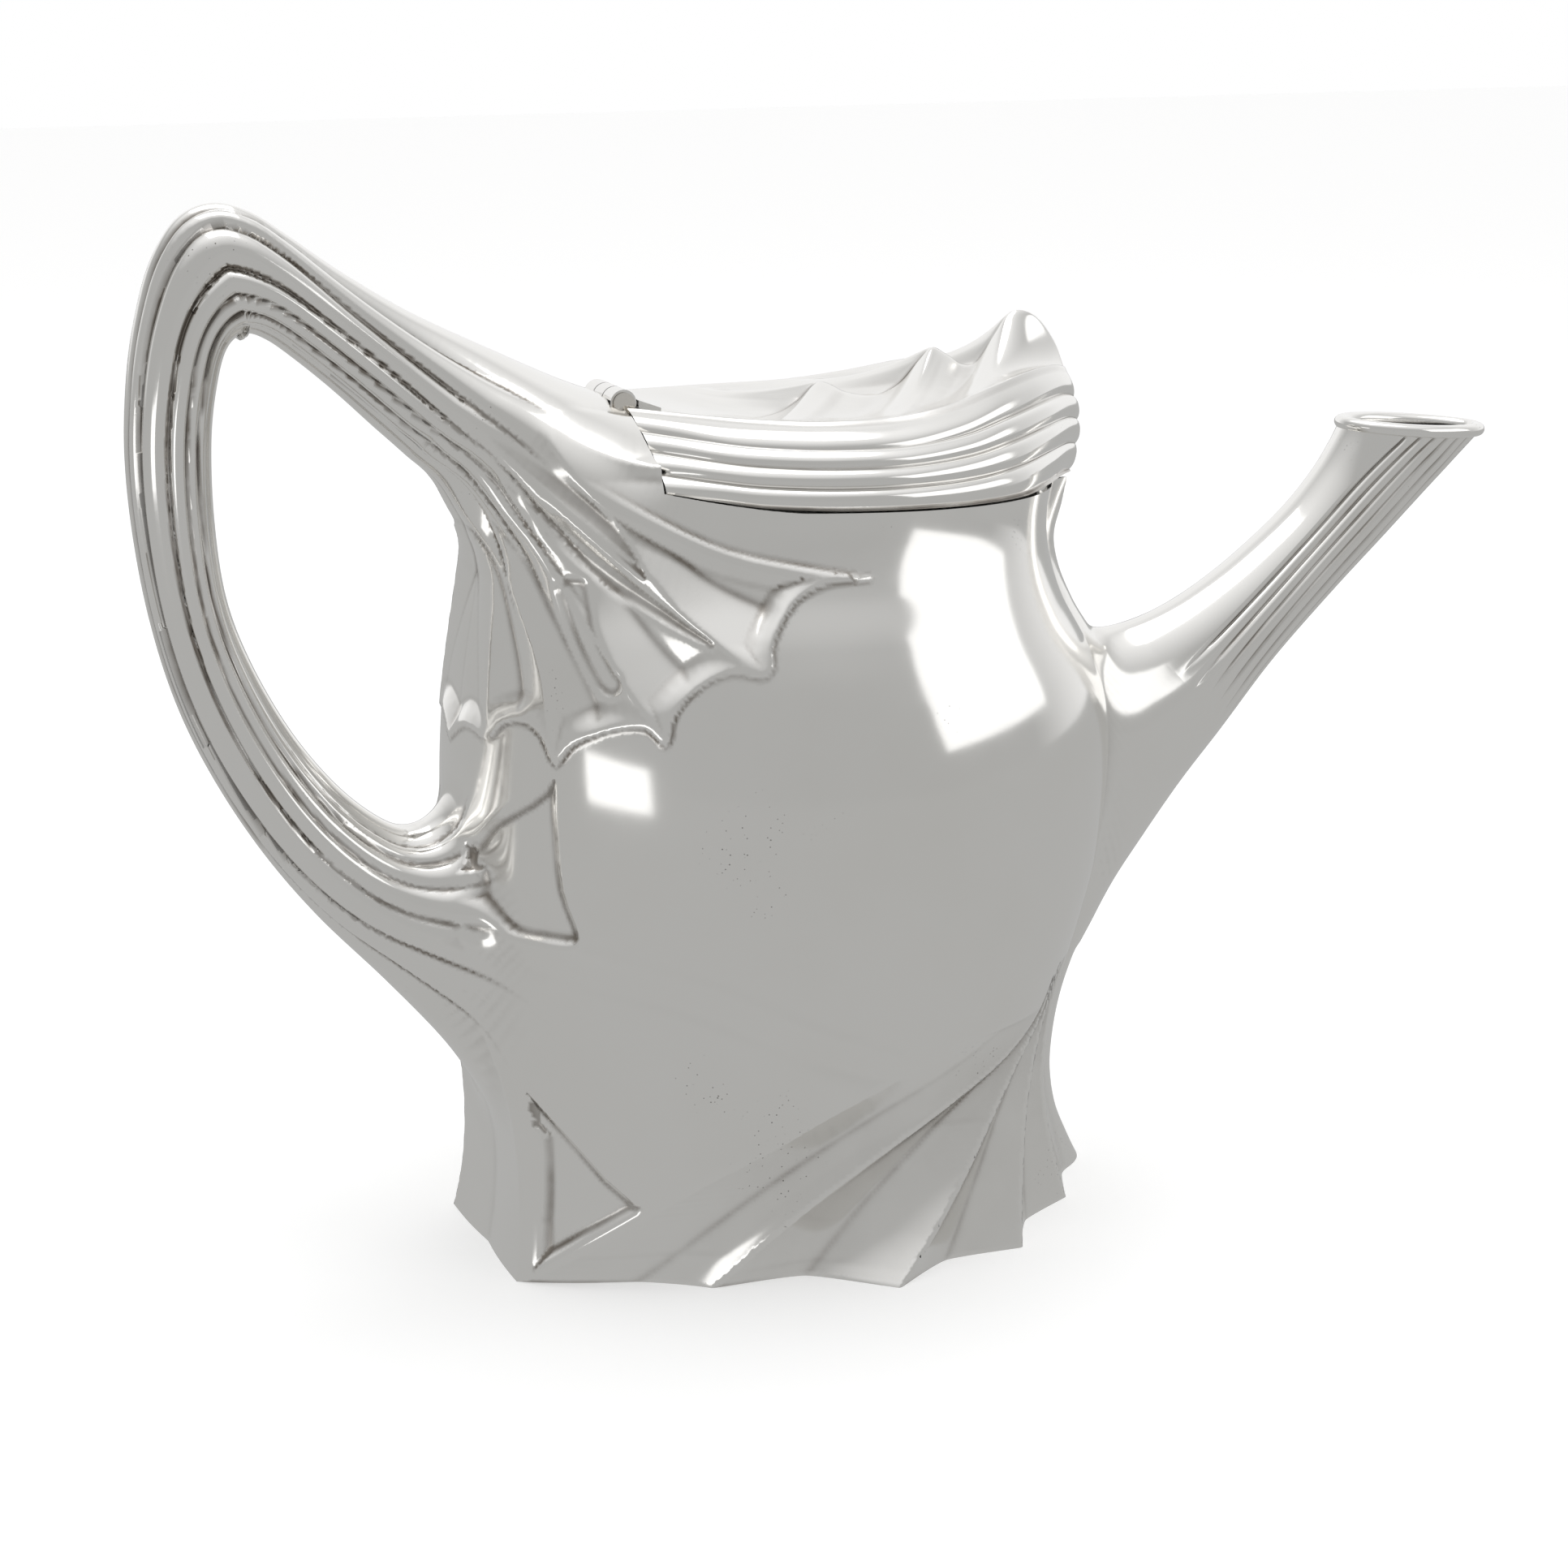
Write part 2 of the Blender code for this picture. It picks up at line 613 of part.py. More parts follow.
def build_strainer(parts, cutters, material):
    """Pierced plate soldered inside the wall, over the opening into the spout."""
    inset = -WALL - GAP
    plate = vessel_solid("strainer_plate", inset, *STRAINER_SPAN_Z, cutters)
    plate.hide_render = False
    plate.display_type = "TEXTURED"
    cutters.objects.unlink(plate)
    parts.objects.link(plate)
    plate.data.materials.append(material)
    hollow_inset = inset - STRAINER_THICKNESS
    hollow = vessel_solid("strainer_hollow", hollow_inset, *STRAINER_HOLLOW_SPAN_Z, cutters)
    add_boolean(plate, hollow, "DIFFERENCE")
    add_boolean(plate, front_oval("strainer_outline", STRAINER_MARGIN, cutters), "INTERSECT")
    add_boolean(plate, strainer_holes(cutters), "DIFFERENCE")
    return plate


def strainer_holes(cutters):
    """A staggered grid of drills, joined in one cutter."""
    drills = bmesh.new()
    for row in range(-(STRAINER_ROWS // 2), STRAINER_ROWS // 2 + 1):
        z = STRAINER_Z + row * STRAINER_PITCH
        shift = 0.5 if row % 2 else 0.0
        for column in range(-(STRAINER_COLUMNS // 2), STRAINER_COLUMNS // 2 + 1):
            y = (column + shift) * STRAINER_PITCH
            across = y / (OPENING_HALF_WIDTH - 1.0)
            if math.hypot(across, (z - STRAINER_Z) / OPENING_HALF_HEIGHT) > DRILLED_SHARE:
                continue
            radius = STRAINER_HOLE / 2.0 * MM
            made = bmesh.ops.create_cone(
                drills, cap_ends=True, segments=DRILL_SIDES, radius1=radius, radius2=radius,
                depth=DRILL_LENGTH * MM)
            bmesh.ops.rotate(
                drills, verts=made["verts"], matrix=Matrix.Rotation(math.radians(90.0), 3, "Y"))
            bmesh.ops.translate(
                drills, verts=made["verts"], vec=Vector((STRAINER_X, y, z)) * MM)
    mesh = bpy.data.meshes.new("strainer_holes")
    drills.to_mesh(mesh)
    drills.free()
    return make_cutter(mesh_object("strainer_holes", mesh, cutters, None))


# ---------------------------------------------------------------- handle

def handle_half_ring(span, side, seam_y, inset):
    """Half of a handle section: an oval arc on one side, closed by a straight line at the seam."""
    outer, inner, half_width = span
    ring = span_ring(outer, inner, half_width, HANDLE_POINTS, -inset, HANDLE_SQUARENESS)
    half = ring[:HANDLE_POINTS // 2 + 1]
    return [Vector((point.x, side * max(point.y, seam_y), point.z)) for point in half]


def build_handle_half(name, side, parts, cutters, trim, material):
    """One stamped half of the hollow handle, open towards the seam in the plane of symmetry."""
    rings = [handle_half_ring(span, side, SEAM_HALF_GAP, 0.0) for span in HANDLE_SPANS]
    half = loft(name, rings, parts, material)
    hollow_rings = [handle_half_ring(span, side, -SEAM_HALF_GAP, SHEET) for span in HANDLE_SPANS]
    for end in (0, -1):
        hollow_rings[end] = [point + Vector((HANDLE_END_SHIFT, 0.0, 0.0)) for point in hollow_rings[end]]
    hollow = make_cutter(loft(name + "_hollow", hollow_rings, cutters, None))
    add_boolean(half, trim, "DIFFERENCE")
    add_boolean(half, hollow, "DIFFERENCE")
    return half


# ---------------------------------------------------------------- lid

def lid_section(x, shoulder, crest, inset):
    """Closed section of the lid's solid at a station: an arch with a sharp crest in its middle."""
    half_width = between(VESSEL_SECTIONS, LID_PLAN_Z)[2]
    if x >= MIDDLE_X:
        share = min((x - MIDDLE_X) / (LID_FRONT_X - MIDDLE_X), 1.0)
        width = half_width * (1.0 - share ** LID_FRONT_POWER) ** (1.0 / LID_FRONT_POWER)
    else:
        share = (MIDDLE_X - x) / LID_BACK_REACH
        width = half_width * math.sqrt(1.0 - share * share)
    width = max(width - inset, LID_LEAST_WIDTH)
    base = rim_height(x) + GAP
    if inset > 0.0:
        base -= LID_HOLLOW_DROP
        crest = min(crest, shoulder) - LID_CREST_WALL
        shoulder = shoulder - inset
    half = [(width * across, base + (shoulder - base) * up) for across, up in LID_ARCH]
    flank = min(width * CREST_FLANK_SHARE, CREST_FLANK)
    valley = shoulder - CREST_VALLEY
    half.append((flank, valley))
    halfway = (valley + crest) / 2.0 if crest > valley else crest
    half.append((min(flank * CREST_MIDDLE_SHARE, CREST_MIDDLE), halfway))
    ring = [(x, -y, z) for y, z in half]
    ring.append((x, 0.0, crest))
    ring += [(x, y, z) for y, z in reversed(half)]
    return ring


def build_lid(parts, cutters, material):
    rings = [lid_section(x, shoulder, crest, 0.0) for x, shoulder, crest in LID_STATIONS]
    lid = loft("lid_cover", rings, parts, material)
    hollow_rings = []
    for x, shoulder, crest in LID_STATIONS[:-2]:
        low = shoulder - (LID_HINGE_BLOCK if x < LID_HINGE_BLOCK_X else 0.0)
        at = max(x, SEAM_X + LID_BACK_WALL)
        hollow_rings.append(lid_section(at, low, min(crest, low), LID_HOLLOW_INSET))
    hollow = make_cutter(loft("lid_hollow", hollow_rings, cutters, None))
    add_boolean(lid, hollow, "DIFFERENCE")
    add_boolean(lid, hinge_clearance(cutters), "DIFFERENCE")
    add_boolean(lid, lid_leaf_room(cutters), "DIFFERENCE")
    return lid


# ---------------------------------------------------------------- hinge

def grown(outline, grow):
    """An outline with its corners moved away from its middle, each way by grow."""
    middle_x = sum(x for x, _ in outline) / len(outline)
    middle_z = sum(z for _, z in outline) / len(outline)
    return [
        (x + math.copysign(grow, x - middle_x), z + math.copysign(grow, z - middle_z))
        for x, z in outline
    ]


def body_lug_room(cutters):
    return make_cutter(outline_solid(
        "lug_room", grown(LUG_OUTLINE, GAP), KNUCKLE_LENGTH / 2.0 + GAP, cutters, None))


def lid_leaf_room(cutters):
    half_length = 1.5 * KNUCKLE_LENGTH + KNUCKLE_GAP
    return make_cutter(outline_solid(
        "leaf_room", grown(LEAF_OUTLINE, GAP), half_length + GAP, cutters, None))


def build_hinge(parts, cutters, material, pin_material):
    """Three knuckles on one pin: the outer two belong to the lid and the middle one to the body."""
    pitch = KNUCKLE_LENGTH + KNUCKLE_GAP
    bore = PIN_RADIUS + PIN_CLEARANCE
    knuckles = [("lid_knuckle_near", -pitch), ("body_knuckle", 0.0), ("lid_knuckle_far", pitch)]
    for name, y in knuckles:
        turned_tube(
            name, KNUCKLE_RADIUS, bore, KNUCKLE_LENGTH / 2.0, (HINGE_X, y, HINGE_Z), parts, material)
    outline_solid("body_hinge_leaf", LUG_OUTLINE, KNUCKLE_LENGTH / 2.0, parts, material)
    outline_solid("lid_hinge_leaf", LEAF_OUTLINE, 1.5 * KNUCKLE_LENGTH + KNUCKLE_GAP, parts, material)
    half_length = 1.5 * KNUCKLE_LENGTH + KNUCKLE_GAP
    turned_tube(
        "hinge_pin", PIN_RADIUS, 0.0, half_length, (HINGE_X, 0.0, HINGE_Z), parts, pin_material)
    for name, side in (("pin_cap_near", -1.0), ("pin_cap_far", 1.0)):
        y = side * (half_length + GAP / 2.0 + PIN_CAP_LENGTH / 2.0)
        turned_tube(
            name, PIN_CAP_RADIUS, 0.0, PIN_CAP_LENGTH / 2.0, (HINGE_X, y, HINGE_Z),
            parts, pin_material)


def main():
    clear_scene()
    parts = new_collection("silver_teapot")
    cutters = new_collection("cutters")
    silver = metal("silver", SILVER, 0.12)
    inside_silver = metal("inside_silver", INSIDE_SILVER, 0.3)
    dark_silver = metal("hinge_silver", DARK_SILVER, 0.25)

    build_vessel(parts, cutters, silver)
    build_bottom_plate(parts, inside_silver)
    d_band("mouth_bezel", WALL + 2.0 * GAP, *BEZEL, BEZEL_BACK_X, parts, inside_silver)
    build_spout(parts, cutters, silver)
    build_spout_lip(parts, silver)
    build_strainer(parts, cutters, inside_silver)
    trim = vessel_solid("handle_trim", GAP, TRIM_BOTTOM, TRIM_TOP, cutters)
    build_handle_half("handle_near_half", -1.0, parts, cutters, trim, silver)
    build_handle_half("handle_far_half", 1.0, parts, cutters, trim, silver)
    build_lid(parts, cutters, silver)
    inset = WALL + 2.0 * GAP + FLANGE_INSET
    d_band("lid_flange", inset, *FLANGE, FLANGE_BACK_X, parts, inside_silver)
    build_hinge(parts, cutters, silver, dark_silver)


main()
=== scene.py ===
"""Silver teapot with a winged shoulder, a draped star foot and a hinged lid with a crest.

Measures are in millimetres except where metres are named. The outer form is a distance field:
vessel, handle, keel and spout joined by soft fillets, with the flutes, ribs and folds added to it.
The vessel's skin is drawn out of that field. The handle and the spout are grids along their middle
lines that are pushed onto the field, so their faces follow the flutes. The lid is lofted from its
rim line up to its crest.
"""
from itertools import combinations

import bmesh
import bpy
import numpy as np
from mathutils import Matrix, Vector

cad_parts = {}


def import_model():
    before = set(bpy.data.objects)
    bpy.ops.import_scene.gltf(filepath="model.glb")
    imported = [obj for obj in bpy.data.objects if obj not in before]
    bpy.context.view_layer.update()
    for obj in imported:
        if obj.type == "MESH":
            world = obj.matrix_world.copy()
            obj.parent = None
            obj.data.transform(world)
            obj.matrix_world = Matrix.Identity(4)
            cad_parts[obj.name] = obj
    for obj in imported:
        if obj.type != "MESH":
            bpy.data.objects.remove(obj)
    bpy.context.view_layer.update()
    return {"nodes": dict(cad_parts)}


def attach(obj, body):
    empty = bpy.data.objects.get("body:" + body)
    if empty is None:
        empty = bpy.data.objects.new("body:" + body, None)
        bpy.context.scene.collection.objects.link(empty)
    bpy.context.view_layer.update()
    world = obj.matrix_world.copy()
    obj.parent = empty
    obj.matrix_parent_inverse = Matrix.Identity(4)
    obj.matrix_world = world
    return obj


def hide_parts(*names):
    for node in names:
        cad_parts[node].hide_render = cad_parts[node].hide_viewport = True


MM = 0.001
WALL = 0.9
UP = (0.0, 0.0, 1.0)
ACROSS = (0.0, 1.0, 0.0)
ORIGIN = (0.0, 0.0, 0.0)

# The grid that the vessel's skin is drawn from: its bounds, its cell, the cells to a side of the
# coarse blocks that are worked out first, and the points worked out at a time.
SKIN_LOW = np.array([-122.0, -62.0, -3.0])
SKIN_HIGH = np.array([82.0, 2.5, 184.0])
SKIN_CELL = 0.62
BLOCK = 4
PART_SIZE = 60000
BRANCH_STEP = 0.5
# How far round a point its surroundings are read to tell a groove from a ridge.
GROOVE_REACH = 0.9

# Colours.
WHITE = (1.0, 1.0, 1.0)
SILVER_COLOUR = (0.90, 0.89, 0.87)
JOINT_COLOUR = (0.82, 0.79, 0.74)
FILM_COLOUR = (0.80, 0.78, 0.73)
TARNISH_COLOUR = (0.17, 0.14, 0.11)
PIT_COLOUR = (0.08, 0.07, 0.06)
FLOOR_COLOUR = (0.80, 0.80, 0.80)
ROOM_COLOUR = (0.45, 0.45, 0.445)
PAPER_COLOUR = (0.95, 0.95, 0.95)
FLOOR_IN_METAL = (0.46, 0.46, 0.455)

# Noise in the silver: scale per metre, detail and roughness.
TARNISH_PATCHES = (55.0, 4.0, 0.6)
FILM_PATCHES = (22.0, 5.0, 0.6)
PIT_PATCHES = (40.0, 3.0, 0.5)
WEAR_PATCHES = (35.0, 6.0, 0.65)
HAMMER_WAVES = (60.0, 1.0, 0.4)
FINE_GRAIN = (900.0, 2.0, 0.6)
PIT_SCALE = 900.0

# The studio, in metres and watts. Panels: name, place, target, width, height, power.
PANELS = [
    ("key_panel", (0.80, -0.52, 0.50), (0.0, -0.045, 0.115), 0.95, 0.50, 1.15),
    ("side_panel", (-0.60, -0.36, 0.075), (-0.06, -0.035, 0.1), 0.26, 0.12, 0.085),
    ("top_panel", (0.0, 0.1, 1.2), (0.0, 0.0, 0.1), 0.9, 0.9, 3.0),
]
FLOOR_SIZE = 6.0
FLOOR_GLOW = 0.35
# The white sides of the room: the direction they lie in, and where the white begins and is full.
PAPER_SIDE = ((0.38, 0.92, 0.0), 0.10, 0.75)
CEILING_SIDE = (UP, 0.50, 0.92)
CAMERA_PLACE = (-0.2448, -0.5533, 0.2503)
CAMERA_TARGET = (-0.0235, -0.0192, 0.090)
CAMERA_LENS = 74.54
CAMERA_SENSOR = 36.0

# The vessel stands round an upright axis.
AXIS_X = -12.0
# Vessel sections: height, back x, front x, half-width.
VESSEL = [
    (-4, -71, 38, 42),
    (10, -74, 38, 43.2),
    (26, -78, 37.5, 45.5),
    (40, -81, 37.5, 49),
    (50, -81.6, 39, 51.6),
    (61, -82, 42.3, 53.6),
    (72, -82, 45.3, 54.8),
    (88, -82, 47.2, 55.5),
    (100, -81.5, 46.8, 54.2),
    (110, -80.5, 43.6, 51.4),
    (121, -79, 37.6, 46.8),
    (130, -77.5, 35.2, 42.5),
    (137, -75, 35.4, 39.8),
    (143, -71, 37, 38.6),
    (150, -66, 38.5, 37.8),
]

# Ridges of the draped foot, each as bearing and height from the waist down to a tip of the star:
# first the fold on the front line, last the back corner's ridge.
FOLD_RIDGES = [
    [(90, 60), (90, 0)],
    [(56, 60), (51, 45), (52, 32), (56, 20), (60, 10), (64, 0)],
    [(50, 60), (46, 45), (43, 32), (39.5, 18), (36.5, 8), (34, 0)],
    [(48, 60), (43, 45), (34, 36), (21, 21), (9, 9), (-1, 0)],
    [(46, 60), (39, 45), (11, 32), (-11, 21), (-28, 11), (-42, 0)],
    [(44, 62), (40, 57), (17, 49), (0, 42), (-20, 33), (-46, 20), (-73, 0)],
    [(-80, 60), (-78.5, 47), (-77, 37), (-75.5, 25), (-74.5, 14), (-73, 0)],
    [(-100, 60), (-101.5, 47), (-103, 37), (-104.5, 25), (-105.5, 14), (-107, 0)],
]
# For each ridge: its radius at the floor and the height at which the tip's flare has gone.
FOLD_TIPS = [
    (60.5, 34), (52.6, 34), (50.6, 40), (50, 42), (49.4, 40), (68.6, 40), (68.6, 46), (68.6, 46),
]
# For each gap between neighbouring ridges: scallop depth at the floor, how its height fades it,
# and where the fold closes.
FOLD_SCALLOPS = [
    (3.6, 52), (5.8, 54), (8.2, 54), (7.8, 52), (6.2, 47), (0, 37), (10, 60),
]
# A three-cornered hollow above the rear side tip.
FOOT_HOLLOW = [
    (-72.5, 38), (-66, 31), (-58.5, 22.5), (-52, 17), (-62, 9.5), (-70.8, 2), (-72, 12), (-72.2, 25),
]
FOOT_HOLLOW_DEPTH = 1.5
FOOT_TOP = 60.0
FOOT_RADIUS = 48.0

# Side view of the handle with the shoulder it grows from: outer edge and inner edge.
HANDLE_OUTER = [
    (-20, 155.5), (-34, 157), (-46, 160), (-58, 164), (-73, 171), (-87, 178), (-99, 185.5), (-108, 192),
    (-114.5, 196.3), (-121, 198), (-127, 195.7), (-131.5, 189.5), (-134.5, 181), (-136.8, 170), (-138, 156),
    (-137.3, 141), (-135, 125), (-131, 110), (-125, 96), (-117, 82), (-107.5, 69), (-96, 56), (-86, 44),
    (-78, 33), (-68, 20),
]
HANDLE_INNER = [
    (-30, 104), (-52, 112), (-68, 123), (-77, 136), (-82.5, 146.5), (-88, 152), (-94, 158), (-101, 164.8),
    (-107.5, 170.5), (-112.5, 174.3), (-116.3, 175.6), (-119.4, 173.6), (-121.4, 168), (-123, 158),
    (-123.2, 144), (-121.8, 130), (-118, 118), (-111.5, 105), (-104, 94.5), (-96.5, 87.3), (-90.5, 84.3),
    (-84, 86), (-74, 92), (-60, 96),
]
# Middle line of the handle with its half-width.
HANDLE_MIDDLE = [
    (-24, 134, 31), (-38, 137, 31), (-50, 141, 29), (-60, 147, 25.5), (-70, 153.5, 20), (-80, 161, 15),
    (-90, 168, 11.8), (-100, 175.5, 10.2), (-109, 182.5, 9.6), (-117, 185.5, 9.4), (-124, 182.5, 9.2),
    (-128.5, 174, 8.8), (-130.3, 160, 8.4), (-130, 145, 8.2), (-127.5, 128, 8.2), (-122, 112, 8.4),
    (-114, 96.5, 8.8), (-105, 83.5, 9.8), (-96, 73, 11.5), (-88, 65, 14.5), (-78, 58, 18), (-66, 54, 20),
]
# The places along the middle line where the handle's halves begin and end, and its fillet.
HANDLE_START = 5.2
HANDLE_END = 16.8
HANDLE_FILLET = 9.0

# Side view of the spout: underside and upper side, both running to the mouth.
SPOUT_UNDER = [
    (28, 6), (38, 26), (44, 40), (50, 50), (58, 61.5), (68, 74.8), (79, 87), (90, 99.6), (103, 112.2),
    (116, 124), (130, 137), (140, 146), (148, 153.5),
]
SPOUT_UPPER = [
    (22, 128), (36, 114), (45, 110.5), (52, 109), (60, 110), (69, 113.2), (78, 118.2), (86, 123.8),
    (94, 130.4), (100, 137), (104, 143), (107, 149), (110, 156),
]
# Middle line of the spout with its half-width.
SPOUT_MIDDLE = [
    (34, 74, 12), (44, 78, 13.8), (54, 84, 13.6), (63, 91, 12), (72, 99, 10.4), (82, 108.5, 9.4),
    (92, 118, 8.9), (101, 126.5, 8.7), (109, 134, 8.7), (116, 140.5, 9.2), (121, 145, 9.9),
    (128, 152, 10.2),
]
SPOUT_START = 3.6
SPOUT_END = 9.95
SPOUT_FILLET = 5.0
SPOUT_ROOT_Z = 48.0
# Side view of the mouth's plane.
MOUTH_BACK = (105.0, 146.0)
MOUTH_FRONT = (138.0, 143.2)

# The rolled lip of the mouth: its section, and how far it lies outside and above the last ring.
LIP_HALF_WIDTH = 1.6
LIP_HALF_HEIGHT = 1.3
LIP_SHIFT = -0.75
LIP_RISE = 0.3

# Side view of the keel, the narrow strip down the vessel's front: its edge and its root inside.
KEEL_FRONT = [
    (46, 158), (45, 149), (44, 141), (42, 136), (40.2, 130), (41, 124), (44, 117), (47.5, 111), (50.5, 104),
    (52.5, 96), (53.6, 88), (54, 78), (54, 69), (52.5, 59), (50, 51), (46.5, 43.5), (44, 36), (42.5, 28),
    (42, 20), (43.2, 12), (46, 5), (49, -1), (52, -6),
]
KEEL_DEPTH = 30.0
KEEL_BACK = [(x - KEEL_DEPTH, z) for x, z in KEEL_FRONT]
KEEL_MIDDLE = [
    (31, 158, 12), (29, 141, 11), (25.5, 128, 10.5), (30, 115, 11.5), (36, 102, 14), (39, 86, 15.5),
    (38.5, 68, 14), (34, 51, 11.5), (29, 36, 10.5), (27, 20, 10.5), (31, 5, 11), (37, -6, 12),
]
KEEL_FILLET = 2.0

# Grooves between the handle's rounded ridges: at places along its middle line, the angle of each
# groove round the section (90 is the outer edge, 0 the side, -90 the inner edge).
HANDLE_GROOVES = [
    (0, 62, 49, 38, 27, 4, -30), (2, 60, 48, 37, 26, 2, -32), (4.5, 60, 46, 33, 20, -3, -36),
    (7, 60, 43, 25, 5, -24, -52), (10, 52, 34, 16, -8, -58, -78), (16, 50, 32, 13, -12, -56, -76),
    (19, 62, 43, 23, 1, -24, -48), (22, 70, 52, 34, 16, -6, -34),
]
# How deep those grooves are along the middle line.
HANDLE_DEPTH = [
    (0, 1), (3, 1.15), (7, 1.15), (12, 1.05), (16.5, 0.9), (18.5, 0.55), (20, 0.2), (21, 0),
]
# The spout's grooves round its section, and their depth along its middle line.
SPOUT_GROOVES = (24.0, 9.0, -6.0, -21.0, -36.0, -51.0, -66.0, -82.0)
SPOUT_DEPTH = [(3.6, 0), (4.2, 0.35), (5, 0.6), (9.3, 0.6), (9.7, 0.15), (9.95, 0)]

# Ribs of the wing from the shoulder to the tips of its hem, as bearing and height on the vessel.
WING_RIBS = [
    [(-85, 138), (-81, 131), (-79.5, 119), (-78, 103)],
    [(-88, 160), (-86, 143), (-75, 128), (-68, 116), (-64, 101)],
    [(-84, 154), (-74, 141), (-66, 129), (-56, 118), (-49, 110), (-46, 106)],
    [(-79, 160), (-72, 150), (-60, 139), (-53, 134), (-45, 127), (-34, 120),
     (-29, 117.5)],
    [(-76, 159), (-71, 154), (-63, 149), (-55, 144.5), (-47, 141), (-39, 138),
     (-20, 134.5), (-6, 132.5)],
]
# The outline of the wing: its scalloped hem and its upper edge.
WING_HEM = [
    (-90, 100), (-84, 104), (-78, 103), (-74.5, 106.5), (-70.5, 107.5), (-67, 105.5), (-64, 101),
    (-61, 105), (-55, 108), (-49.5, 108.5), (-46, 106), (-45, 111), (-41.5, 115.5), (-36, 118),
    (-29, 117.5), (-28.5, 123), (-24.5, 129), (-17, 132), (-6, 132.5),
]
WING_TOP = [
    (-6, 132.5), (-20, 134.5), (-39, 138), (-55, 144.5), (-71, 154), (-76, 158.5), (-83, 160), (-91, 160.5),
]
# The wing's height above the vessel, and how its webs sink between the ribs.
WING_STEP = 0.5
WEB_DEPTH = 0.18
WEB_LIMIT = 3.0
# Long tapering grooves between the ribs, ending in points: line, width, depth.
POINTED_GROOVES = [
    ([(-79, 163), (-72, 153), (-67, 147), (-60, 140), (-54, 134)], 3.2, 1.1),
    ([(-73, 146), (-67, 139.5), (-58, 132), (-49, 127), (-40, 122.5)], 2.8, 1),
    ([(-80, 62), (-81, 68), (-83, 75)], 2.6, 0.8),
]
# A deep pocket with a square end, between the second and third ribs.
POCKET = [(-66, 131), (-63, 124), (-58.5, 117), (-57, 115.5)]
POCKET_DEPTH = 0.8
POCKET_REACH = 2.9
# The hollow under the wing, above the handle's lower root.
ROOT_HOLLOW = [
    (-82, 83), (-78, 88), (-70, 94), (-64, 99), (-63, 91), (-62, 78), (-59.5, 68.5), (-67, 67), (-74, 67.5),
    (-80, 73),
]
ROOT_HOLLOW_DEPTH = 1.3
# A low ridge that runs down the side from the handle's lower root to the foot's front folds.
LOW_RIDGE = [(-66, 65), (-42, 60), (-21, 50), (-3, 43)]
LOW_RIDGE_RISE = 0.35
LOW_RIDGE_REACH = 3.0
# The radius at which bearings count as millimetres on the flat map of the side.
METRIC = 50.0

# The rim: it rises behind RIM_SIDE_X up to the seam behind the hinge, and falls slowly in front.
SEAM_X = -50.0
RIM_SIDE_X = -26.0
RIM_SIDE_Z = 144.0
RIM_REAR_RISE = 3.7
RIM_REAR_RUN = 24.0
RIM_FRONT_DROP = 3.0
RIM_FRONT_RUN = 71.0
# The hinge pin's place, and the room that its tubes turn in.
HINGE_X = -49.7
HINGE_Z = 160.5
HINGE_ROOM = 2.95
HINGE_HALF_LENGTH = 9.0
# The dished plate inside the vessel.
BOTTOM_Z = 28.0
BOTTOM_THICKNESS = 1.0
BOTTOM_DISH = 2.5
BOTTOM_GAP = 0.6

LID_GAP = 0.35
# Where the lid's side turns over into its shoulder, and the curve its side bulges towards.
LID_SHOULDER = [
    (-49.65, -9, 160), (-40, -16, 159.3), (-31, -21, 158.6), (-19, -25, 158), (-5, -25.5, 158),
    (7, -23.8, 159.3), (17, -20, 161.3), (27, -14.5, 162.8), (35, -9, 163), (40, -4.8, 162),
    (42.8, 0, 160.3),
]
LID_BULGE = [
    (-49.65, -22.5, 155), (-41, -31, 154.3), (-33, -34.8, 153.8), (-20, -38, 153.2), (-5, -38.2, 153),
    (9, -34.5, 153.6), (21, -28.5, 155), (32, -21, 155.5), (41, -12, 155), (46, -5.4, 153), (47.8, 0, 151),
]
# Stations of the lid's rim, and the grooves up its side from rim to shoulder.
LID_RIM_X = (-49.65, -41.5, -33.0, -20.0, -5.0, 9.0, 21.0, 31.0, 39.0)
LID_GROOVES = [(0, 0.25, 0.52, 0.77), (3, 0.24, 0.47, 0.70), (10, 0.24, 0.47, 0.70)]
LID_SIDE_HEIGHT = 24.0
LID_FLUTE_DEPTH = 1.3
# Side view of the lid's top: the valley along its middle, and the waves and crest above it.
LID_VALLEY = [
    (-50, 160.3), (-40, 157.6), (-30, 155.6), (-20, 154.8), (-8, 154.6), (5, 155.2), (15, 156.6),
    (25, 158.2), (35, 159.4), (43, 160.3),
]
LID_TOP = [
    (-50, 160.3), (-41, 158), (-34, 156.2), (-23, 155.2), (-17, 155.8), (-12.5, 158), (-9.2, 160.9),
    (-6.6, 160.7), (-3, 158.9), (3, 158), (8, 160), (12, 164.2), (14.6, 166.3), (17.4, 165), (21, 162.8),
    (24, 163.2), (27.5, 168), (30.5, 171.8), (33.5, 172.3), (37, 170.4), (40.5, 165.8), (42.8, 160.3),
]
# How the waves slant: the shift along the lid for each millimetre away from its middle.
WAVE_SLANT = 0.75

# ---------------------------------------------------------------- curves and distances


def through(points, per_span=12):
    """A smooth curve through given points, with any number of values per point."""
    p = np.asarray(points, float)
    ends = np.vstack([2 * p[0] - p[1], p, 2 * p[-1] - p[-2]])
    t = np.linspace(0.0, 1.0, per_span, endpoint=False)[:, None]
    spans = []
    for a, b, c, d in zip(ends, ends[1:], ends[2:], ends[3:]):
        spans.append(0.5 * (
            2 * b + (c - a) * t + (2 * a - 5 * b + 4 * c - d) * t ** 2 + (3 * b - a - 3 * c + d) * t ** 3))
    return np.vstack(spans + [p[-1:]])


